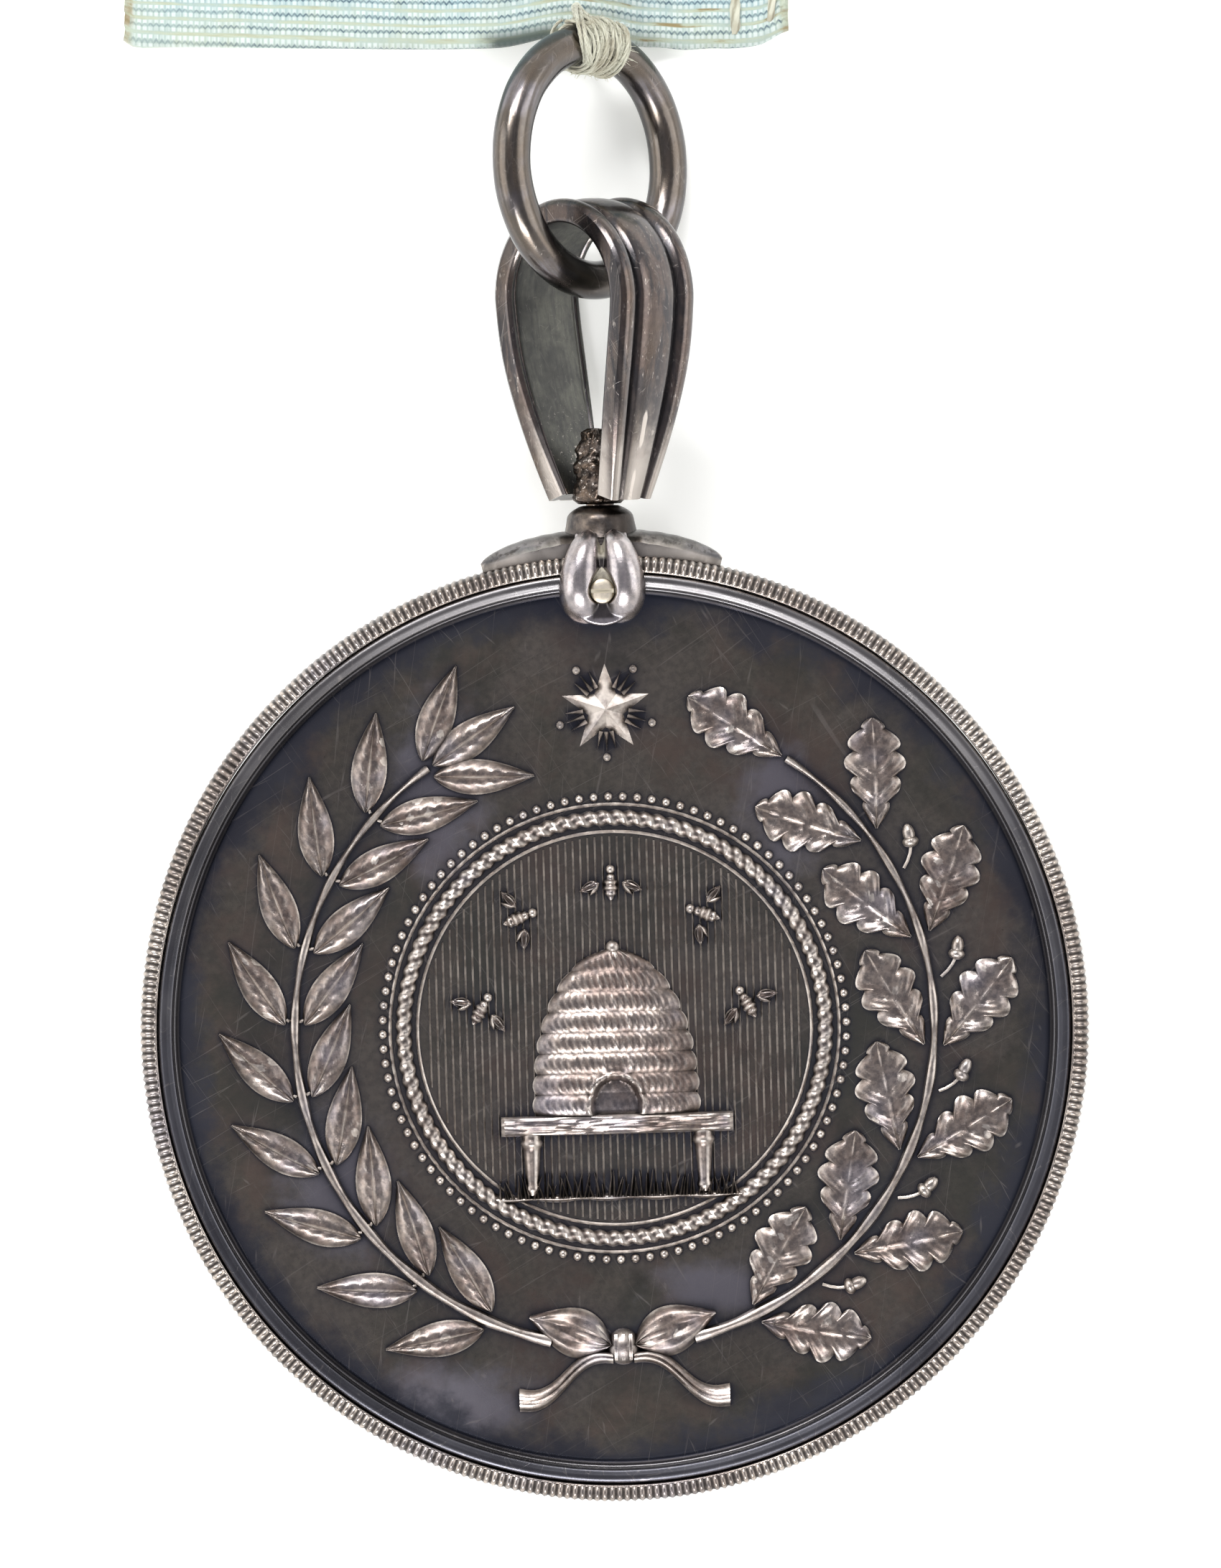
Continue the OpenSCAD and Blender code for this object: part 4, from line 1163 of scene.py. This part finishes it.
def lobes():
    """Both lobes and the block between them as one cast lump, hollowed round the screw."""
    bm = form()
    for front in (1, -1):
        for side in (1, -1):
            bulb(bm, side, front)
        bmesh.ops.create_cone(bm, cap_ends=True, segments=64, radius1=2.02, radius2=2.02, depth=1.8,
                              matrix=moved(0, 25.02, front * 2.15))
    block = moved(0, 27.3) @ Matrix.Diagonal((3.6, 1.9, 5.6, 1))
    for v in bmesh.ops.create_cube(bm, size=1, matrix=block)["verts"]:
        if v.co.y > 27.5:
            v.co.x *= 0.8
            v.co.z *= 0.72
    made = melted(bm, 0.07, 10)
    deep = depths(made)
    for v in made.verts:
        above = v.co.y - SCREW_Y
        half = 0.72 * dome(min(max(above / 1.35, 0), 1), 0.8, 1.5) + 0.12
        across = hypot(v.co.x, min(above, 0))
        if v.co.z > LOBE_FLOOR - 0.02 and v.co.y < 26.5 and across < half:
            inside = ease((half - across) / 0.2)
            v.co.z += (LOBE_FLOOR - v.co.z) * inside
            v[deep] = inside
        if abs(v.co.z) < 1.29 and v.co.y < 25.1:
            v.co.z = copysign(1.29, v.co.z)
    return made


def claw_leaves(bm):
    """Two leaves that lie along the edge, ridged over the rim."""
    def place(s, t):
        far = abs(2 * s - 1)
        half = 0.12 + 2.2 * dome(far, 0.8, 2.4)
        top = 0.42 + 0.93 * dome(far, 0.7, 3)
        side = 0.84 - 0.6 * far
        up, z = -0.15, copysign(half, 0.5 - t)
        if 0.08 < t < 0.92:
            c = (t - 0.08) / 0.84 * 2 - 1
            z = -half * c if abs(c) < 0.86 else -copysign(half, c)
            up = side + (top - side) * dome(z / half, 0.9, 2.2)
        up += 0.03 * sin(TURN * 7 * far) * (1 - far) if up > 0 else 0
        return polar(27.06 + up, PI / 2 - radians(14.5) * (2 * s - 1), z), 0.6 * ease(0.3 - 4 * up)

    loft(bm, 72, 26, place)


def screw_head():
    """Domed head with a driver's slot, two half domes over a sunk floor, and its shank."""
    bm = form()
    z, foot = LOBE_FLOOR + 0.05, -LOBE_FLOOR
    head = ((0, 0), (0.7, 0), (0.7, 0.2), (0.68, 0.26), (0.62, 0.3), (0.5, 0.33), (0.3, 0.355), (0, 0.37))
    for way in (1, -1):
        half = lathe([(r, z + up) for r, up in head], 48)
        bmesh.ops.bisect_plane(half, geom=half.verts[:] + half.edges[:] + half.faces[:],
                               plane_co=(0, way * 0.12, 0), plane_no=(0, -way, 0), clear_outer=True)
        close(half)
        join(bm, half)
    join(bm, lathe([(0, z), (0.67, z), (0.67, z + 0.1), (0.64, z + 0.2), (0, z + 0.2)], 48, 0.9))
    join(bm, lathe([(0, foot - 0.12), (0.3, foot - 0.1), (0.42, foot), (0.42, z + 0.01), (0, z + 0.01)], 32, 0.5))
    bmesh.ops.transform(bm, matrix=moved(0, SCREW_Y), verts=bm.verts)
    return bm


class MEDAL_OT_claw(bpy.types.Operator):
    """Cast the claw with its leaves and collar, and set the screw in it"""
    bl_idname = "medal.claw"
    bl_label = "Claw and screw"

    def execute(self, context):
        finish("claw_lobes", lobes())
        bm = form()
        claw_leaves(bm)
        finish("claw_leaves", bm)
        collar = [(0, 27.5), (2.3, 27.46), (2.37, 27.55), (2.34, 27.68), (2.24, 27.85), (2.14, 28.05), (2.06, 28.3),
                  (2.0, 28.55), (1.96, 28.8), (1.93, 29.0), (1.88, 29.18), (1.77, 29.34), (1.6, 29.48), (1.4, 29.6),
                  (1.18, 29.7), (1.0, 29.75), (0, 29.75)]
        turned = lathe(collar, 72)
        for v in turned.verts:
            if v.co.xy.length > 1.1:
                v.co.xy *= 1 - 0.03 * abs(noise.noise(v.co * 0.9)) - 0.02 * abs(noise.noise(v.co * 2.6))
        bm = form()
        join(bm, turned, UPRIGHT)
        finish("claw_collar", bm)
        finish("slotted_screw", screw_head())
        return {"FINISHED"}


# The bail

ARCH_Y = 11.5
BAIL_HALF = 5.1
BAIL_FOOT = 2.48
STRAP_T = 1.35
GROOVE = 0.55


def bail_line(s):
    """Place on the outside of the bail, the way out of it, and the height, from foot to foot."""
    legs, arch = 11.6, 17.0
    at = s * (2 * legs + arch)
    near = at < legs + arch / 2
    run = at if near else 2 * legs + arch - at
    way = 1 if near else -1

    def spot(run):
        if run < legs:
            share = run / legs
            x = BAIL_FOOT + (BAIL_HALF - BAIL_FOOT) * (0.7 * sin(PI / 2 * share) + 0.3 * share)
            return Vector((x, ARCH_Y * share))
        a = PI * (run - legs) / arch
        return Vector((BAIL_HALF * cos(a), ARCH_Y + 5.7 * sin(a)))

    p = spot(run)
    d = (spot(run + 0.05) - spot(max(run - 0.05, 0))).normalized()
    return Vector((way * p.x, p.y)), Vector((way * d.y, -d.x)), min(p.y, ARCH_Y)


def strap_depth(x):
    """Depth of the strap's face at a share of its width: bead, groove, broad rib, groove, bead."""
    return 1 - max(dome((abs(x) - 0.405) / 0.1, 0.4), dome(x / 0.24, 0.275))


def strap(bm):
    """Ribbed strap bent into the bail, wider toward its arch, with beads inside its edges."""
    bead = [(0.5, 0.34), (0.497, 0.2), (0.482, 0.08), (0.46, 0.0), (0.438, 0.06), (0.425, 0.16), (0.408, 0.18),
            (0.39, 0.1)]
    inner = bead + [(0.36 - 0.12 * k, 0.08) for k in range(7)] + [(-x, up) for x, up in reversed(bead)]
    section = [(-0.5 + k / 48, strap_depth(-0.5 + k / 48) * GROOVE) for k in range(49)]
    section += [(x, STRAP_T - up) for x, up in inner] + section[:1]
    columns = len(section) - 1

    def place(s, t):
        x, deep = section[round(t * columns)]
        p, out, y = bail_line(s)
        wide = 3.4 + 2.76 * sin(PI / 2 * min(y / 9.5, 1))
        mark = 0.9 * (0.4 < abs(x) < 0.43)
        if deep <= GROOVE:
            deep *= 0.4 + 0.6 * ease(y / 6)
            mark = deep / GROOVE
        p -= out * (deep + 0.006 * noise.noise(Vector((x * wide, s * 40, 0)) * 0.4))
        return Vector((p.x, p.y, x * wide)), mark

    loft(bm, 120, columns, place)


def rough_solder():
    """Lump of solder that holds the bail's feet to the stud."""
    bm = fine_lathe([(0, -0.2), (1.2, -0.2)] + [(1.42 - 0.3 * k / 36, 4.0 * k / 36) for k in range(37)]
                    + [(0.7, 4.2), (0, 4.1)], 80)
    for v in bm.verts:
        r = v.co.xy.length
        if r > 0.5:
            lump = sum(noise.noise(v.co * fine) * high for fine, high in ((1.3, 0.22), (3.4, 0.16), (8, 0.08)))
            lump -= 0.25 * ease((v.co.z - 3.0) / 1.3)
            v.co.xy *= 1 + lump / r
            v.co.z += lump if v.co.z > 3.5 else 0
    return bm


def inside_faces(piece):
    """Gives the second finish to the faces that look into the loop."""
    turn = IN_BAIL.inverted()
    for face in piece.data.polygons:
        centre = turn @ face.center
        way = (turn.to_3x3() @ face.normal).normalized()
        look = Vector((-centre.x, 8 - centre.y, 0)).normalized()
        if way.dot(look) > 0.45 and abs(way.z) < 0.5:
            face.material_index = 1


class MEDAL_OT_bail(bpy.types.Operator):
    """Bend the ribbed bail, and set it on the swivel's stud"""
    bl_idname = "medal.bail"
    bl_label = "Bail"

    def execute(self, context):
        bm = form()
        strap(bm)
        inside_faces(finish("ribbed_bail", bm))
        stud = [(0, -1.8), (1.1, -1.8), (1.2, -1.7), (1.2, -1.15), (1.1, -1.05), (0.8, -1.05), (0.8, 0), (0, 0)]
        for name, part in (("solder_lump", rough_solder()), ("swivel_stud", lathe(stud, 48))):
            bm = form()
            join(bm, part, UPRIGHT)
            finish(name, bm)
        return {"FINISHED"}


# The ring and the thread

WIRE_R = 1.1
TIE_AT = radians(86)
TIE_SPREAD = radians(12.4)

# Strands that lie over the ribbon's fold, and the ends of those in front of it, behind it and under it
OVER_FOLD = ((-0.55, 58.25, 3.8), (-0.5, 57.85, 5.4), (-0.4, 57.25, 7.2), (-0.25, 56.5, 8.15), (-0.1, 55.7, 8.2),
             (0.0, 54.95, 7.5), (0.05, 54.5, 6.3), (0.1, 54.6, 5.2))
SEWN_ENDS = (((0.3, 56.95, 7.55), (-0.55, 58.25, 3.68)), ((-0.3, 55.3, 4.42), (-0.2, 55.35, 1.62)),
             ((-0.2, 55.35, 1.62), (-0.6, 58.1, 1.58)))


def ring_radius():
    """Radius of the ring's middle line, from the height that the leaning ring reaches."""
    low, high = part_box("ring")
    return ((high.z - low.z) / MM / 2 - WIRE_R) / cos(BAIL_TURN)


class MEDAL_OT_ring(bpy.types.Operator):
    """Bend the wire ring"""
    bl_idname = "medal.ring"
    bl_label = "Wire ring"

    def execute(self, context):
        big = ring_radius()
        bm = fine_lathe([(big + WIRE_R * cos(TURN * k / 36), WIRE_R * sin(TURN * k / 36)) for k in range(36)], 180)
        for v in bm.verts:
            v.co -= (v.co - polar(big, atan2(v.co.y, v.co.x))) * 0.02 * (0.5 + noise.noise(v.co * 0.7))
        finish("wire_ring", bm)
        return {"FINISHED"}


def winding(bm, to_table, big):
    """Three layers of turns round the ring's wire, each over the last."""
    for layer, (out, turns, thin) in enumerate(((1.24, 12, 0.12), (1.44, -11, 0.12), (1.62, 8, 0.11))):
        points = []
        steps = abs(turns) * 28
        for k in range(steps + 1):
            s = k / steps
            roll = TURN * turns * s + 0.35 * sin(9 * s + layer)
            a = TIE_AT + TIE_SPREAD * (2 * s - 1) + 0.035 * sin(roll * 0.37 + layer) + 0.02 * sin(roll * 1.7)
            loose = out + 0.09 * noise.noise(Vector((roll * 0.6, layer, 0))) * min(1, 8 * s, 8 - 8 * s)
            points.append(to_table @ polar(big + loose * cos(roll), a, loose * sin(roll)))
        strand(bm, points, thin, to_table.to_3x3() @ Vector((0.13, -0.41, 0.9)), 3, steps / 5.2, 8)


def sewing(bm):
    """Four strands over the ribbon's fold, and three twisted cords that hold them to it."""
    for ply in range(4):
        roll = TURN * ply / 4
        points = [Vector(smooth_row(OVER_FOLD, k / 48)) + Vector((0.2 * cos(roll + 2.2 * k / 48), 0.08 * sin(roll),
                  0.14 * sin(roll + 2.2 * k / 48))) for k in range(49)]
        strand(bm, points, 0.125, Vector((0.9, 0.1, 0.2)), 3, 12, 8)
    for a, b in SEWN_ENDS:
        a, b = Vector(a), Vector(b)
        along = (b - a).normalized()
        beside = along.cross(Vector((0.1, 0.2, 1)) if abs(along.z) < 0.9 else Vector((1, 0.1, 0))).normalized()
        above = beside.cross(along)
        for ply in range(3):
            rolls = [TURN * (ply / 3 + 0.7 * k / 30) for k in range(31)]
            points = [a.lerp(b, k / 30) + (beside * cos(roll) + above * sin(roll)) * 0.13
                      for k, roll in enumerate(rolls)]
            strand(bm, points, 0.13, Vector((0.31, 0.93, 0.2)), 3, 9, 8)
        ball(bm, Matrix.Translation(b), 0.27, rings=8)


def fuzz(bm, to_table, big):
    """Loose fibres that stand off the winding, within the tie's reach."""
    chance = random.Random(11)
    for _ in range(330):
        a = TIE_AT + TIE_SPREAD * chance.uniform(-1, 1)
        roll = chance.uniform(0, TURN)
        base, out = polar(big, a), polar(cos(roll), a, sin(roll))
        along = polar(1, a + PI / 2) * chance.uniform(-1, 1) + out * chance.uniform(0.1, 0.5)
        bend = Vector([chance.uniform(-1, 1) for _ in range(3)]) * 0.12
        long = chance.uniform(0.4, 1.2)
        offs = [out * 1.5 + along * long * i / 7 + bend * (i / 7) ** 2 for i in range(8)]
        points = [to_table @ (base + off * min(1, 1.95 / off.length)) for off in offs]
        strand(bm, points, 0.024, Vector((0.5, 0.4, 0.75)), 1, 0, 4, 0.5)


class MEDAL_OT_thread(bpy.types.Operator):
    """Wind the thread tie round the ring, and sew it to the ribbon"""
    bl_idname = "medal.thread"
    bl_label = "Thread tie"

    def execute(self, context):
        big = ring_radius()
        to_table = ON_TABLE.inverted() @ IN_RING
        bm = form()
        winding(bm, to_table, big)
        sewing(bm)
        finish("thread_tie_winding", bm)
        bm = form()
        fuzz(bm, to_table, big)
        finish("thread_fuzz", bm)
        return {"FINISHED"}


# The ribbon

RIBBON_W = 38.0
RIBBON_L = 40.0
RIBBON_T = 1.2
CLOTH_T = 0.46
RIB = 0.85
TIE_U = 25.8

# Millimetres across and along the ribbon that its UV map spans
WEAVE_MAP = (40.0, 80.0)


def ribbon_under(u, v):
    """Height of the ribbon's underside, as the solid has it."""
    lifted = hump(u - TIE_U, 9 if u < TIE_U else 6) * hump(v, 14)
    return 2.1 * lifted + 3.3 * ease((v - 21) / 13)


def edge_wave(u):
    """How far the fold lies in from the solid's edge, across the ribbon."""
    drawn = 0.7 * hump(u - TIE_U + 0.2, 4.6)
    wave = 0.16 * sin(0.9 * u + 0.6) + 0.1 * sin(2.3 * u)
    corner = 0.35 * ease((0.9 - u) / 0.9) ** 2 + 1.0 * ease((2.6 - RIBBON_W + u) / 2.6) ** 2
    return 0.2 + drawn + 0.35 * (wave + 0.2) * ease((u - TIE_U) / 3) + corner


def ribbon_spot(s, t):
    """Place on the folded cloth's middle layer, and its place on the weave's UV map."""
    u = RIBBON_W * t
    start = edge_wave(u)
    turn_r = (RIBBON_T - CLOTH_T) / 2
    turn_long = PI * turn_r
    run_long = RIBBON_L - 0.4 - start - turn_r
    at = s * (2 * run_long + turn_long)
    weave = at + 0.8 * (start - 0.2) - 0.03 * min(u, 17)
    ribs = 0.07 * cos(TURN * weave / RIB)
    if at < run_long:
        v, z, up = RIBBON_L - 0.4 - at, RIBBON_T - CLOTH_T / 2, ribs
    elif at < run_long + turn_long:
        a = (at - run_long) / turn_r
        v = start + turn_r - (turn_r + ribs) * sin(a)
        z, up = max(RIBBON_T / 2 + (turn_r + ribs) * cos(a), 0.2), 0
    else:
        v, z, up = start + turn_r + at - run_long - turn_long, CLOTH_T / 2, -ribs
    pull = 0.8 * ease(1 - v / 12) * hump(u - TIE_U, 7) * copysign(1, TIE_U - u) * ease(abs(u - TIE_U) / 2.5)
    sunk = min(0.04 + min(up, 0), 0) if z < RIBBON_T / 2 else 0
    p = Vector((u + 0.25 * pull, v, ribbon_under(u, max(v, 0)) + z + up - sunk))
    return p, (u / WEAVE_MAP[0], weave / WEAVE_MAP[1])


def stitches(bm):
    """Two rows of stitches near the ribbon's end."""
    for row, thick, shift in ((35.0, 0.34, 0.0), (37.1, 0.26, 0.7)):
        for k in range(11):
            v = 0.9 + shift + 2.7 * k
            top = ribbon_under(row, v + 0.9) + RIBBON_T - 0.22
            points = [Vector((row + 0.08 * sin(5 * k) + 0.3 * shift * (i / 8 - 0.5), v + 1.9 * i / 8,
                              top + 0.3 * sin(PI * i / 8))) for i in range(9)]
            strand(bm, points, thick, Vector((1, 0.1, 0.1)), 3, 3, 9)


class MEDAL_OT_ribbon(bpy.types.Operator):
    """Fold the ribbed ribbon over the tie, and stitch its end"""
    bl_idname = "medal.ribbon"
    bl_label = "Ribbon"

    def execute(self, context):
        bm = form()
        marks = bm.loops.layers.uv.new("weave")
        uv = {}
        for c in bmesh.ops.create_grid(bm, x_segments=564, y_segments=76, size=0.5)["verts"]:
            c.co, uv[c] = ribbon_spot(c.co.x + 0.5, c.co.y + 0.5)
        for face in bm.faces:
            for loop in face.loops:
                loop[marks].uv = uv[loop.vert]
        piece = finish("folded_ribbon", bm)
        wall = piece.modifiers.new("thickness", "SOLIDIFY")
        wall.thickness = CLOTH_T * 0.8 * MM
        wall.offset = 0
        bm = form()
        stitches(bm)
        finish("end_stitches", bm)
        return {"FINISHED"}


class MEDAL_OT_bar(bpy.types.Operator):
    """Finish the brooch bar behind the ribbon"""
    bl_idname = "medal.bar"
    bl_label = "Brooch bar"

    def execute(self, context):
        for thing in bpy.data.objects:
            if thing.type == "MESH" and thing.name.split(".")[0] == "brooch_bar":
                for slot in thing.material_slots:
                    slot.material = bpy.data.materials["Bar metal"]
        return {"FINISHED"}


# Stage

VIEW_MIDDLE = Vector((0.000156, -0.02203, 0.0038))
VIEW_LONG = 0.0895
CAMERA_AWAY = 0.6
LAMP_AWAY = 0.62
SENSOR = 36


def placed_in_scene(name, data):
    thing = bpy.data.objects.new(name, data)
    bpy.context.scene.collection.objects.link(thing)
    return thing


def softbox(name, compass, elevation, wide, tall, watts):
    """Area light that looks at the middle of the view."""
    lamp = bpy.data.lights.new(name, "AREA")
    lamp.shape = "RECTANGLE"
    lamp.size, lamp.size_y, lamp.energy = wide, tall, watts
    a, e = radians(compass), radians(elevation)
    way = polar(cos(e), PI / 2 - a, sin(e))
    thing = placed_in_scene(name, lamp)
    thing.location = VIEW_MIDDLE + way * LAMP_AWAY
    thing.rotation_euler = way.to_track_quat("Z", "Y").to_euler()


def sky():
    """World that is dark overhead, where the camera stands, and lighter toward the horizon."""
    world = bpy.data.worlds.new("Tent")
    world.use_nodes = True
    tree = world.node_tree
    ramp = tree.nodes.new("ShaderNodeValToRGB")
    feed(ramp.inputs["Fac"], parts(put(tree, "TexCoord", (), "Generated"))[2])
    stops = ramp.color_ramp.elements
    stops[0].color, stops[1].color = (0.9, 0.9, 0.88, 1), (0.32, 0.31, 0.335, 1)
    for where, value in ((0.3, (0.86, 0.84, 0.8, 1)), (0.5, (0.66, 0.65, 0.64, 1)), (0.7, (0.34, 0.34, 0.35, 1)),
                         (0.88, (0.22, 0.22, 0.235, 1)), (0.965, (0.25, 0.245, 0.265, 1))):
        stops.new(where).color = value
    lit = tree.nodes["Background"].inputs
    tree.links.new(ramp.outputs[0], lit["Color"])
    lit["Strength"].default_value = 1.25
    bpy.context.scene.world = world


class MEDAL_OT_stage(bpy.types.Operator):
    """Lay out the white table, the softboxes and the camera overhead"""
    bl_idname = "medal.stage"
    bl_label = "Stage"

    def execute(self, context):
        bm = bmesh.new()
        bmesh.ops.create_grid(bm, x_segments=1, y_segments=1, size=3)
        mesh = bpy.data.meshes.new("white_table")
        bm.to_mesh(mesh)
        bm.free()
        mesh.materials.append(bpy.data.materials["White table"])
        floor = placed_in_scene("white_table", mesh)
        sky()
        for row in (("north_box", -14, 46, 0.34, 0.16, 2.8), ("east_box", 84, 34, 0.6, 0.4, 1.2),
                    ("south_box", 188, 44, 0.34, 0.16, 2.6), ("west_box", 274, 34, 0.6, 0.4, 1.2)):
            softbox(*row)
        lens = bpy.data.cameras.new("overhead")
        lens.lens = SENSOR * CAMERA_AWAY / VIEW_LONG
        lens.sensor_width = SENSOR
        lens.clip_start, lens.clip_end = 0.01, 10
        camera = placed_in_scene("overhead", lens)
        camera.location = VIEW_MIDDLE + Vector((0, 0, CAMERA_AWAY))
        camera.rotation_euler = (0, 0, radians(LAY))
        context.scene.camera = camera
        context.scene.view_settings.view_transform = "Standard"
        return {"FINISHED"}


class MEDAL_OT_finishes(bpy.types.Operator):
    """Mix the finishes of all the pieces"""
    bl_idname = "medal.finishes"
    bl_label = "Finishes"

    def execute(self, context):
        build_finishes()
        return {"FINISHED"}


class MEDAL_PT_panel(bpy.types.Panel):
    """Sizes, colours and building steps of the medal"""
    bl_idname = "MEDAL_PT_panel"
    bl_label = "Award medal"
    bl_space_type = "VIEW_3D"
    bl_region_type = "UI"
    bl_category = "Medal"

    def draw(self, context):
        for settings in (sizes(), colours()):
            box = self.layout.box()
            for name in settings.__annotations__:
                box.prop(settings, name)
        for step in STEPS:
            self.layout.operator(step.bl_idname)


STEPS = (MEDAL_OT_finishes, MEDAL_OT_disc, MEDAL_OT_band, MEDAL_OT_claw, MEDAL_OT_bail, MEDAL_OT_ring,
         MEDAL_OT_thread, MEDAL_OT_ribbon, MEDAL_OT_bar, MEDAL_OT_stage)
CLASSES = (MedalSizes, MedalColours, *STEPS, MEDAL_PT_panel)


def register():
    for item in CLASSES:
        bpy.utils.register_class(item)
    bpy.types.Scene.medal_sizes = bpy.props.PointerProperty(type=MedalSizes)
    bpy.types.Scene.medal_colours = bpy.props.PointerProperty(type=MedalColours)


def unregister():
    del bpy.types.Scene.medal_colours
    del bpy.types.Scene.medal_sizes
    for item in reversed(CLASSES):
        bpy.utils.unregister_class(item)


def main():
    register()
    for step in STEPS:
        group_name, name = step.bl_idname.split(".")
        getattr(getattr(bpy.ops, group_name), name)()


if __name__ == "__main__":
    main()
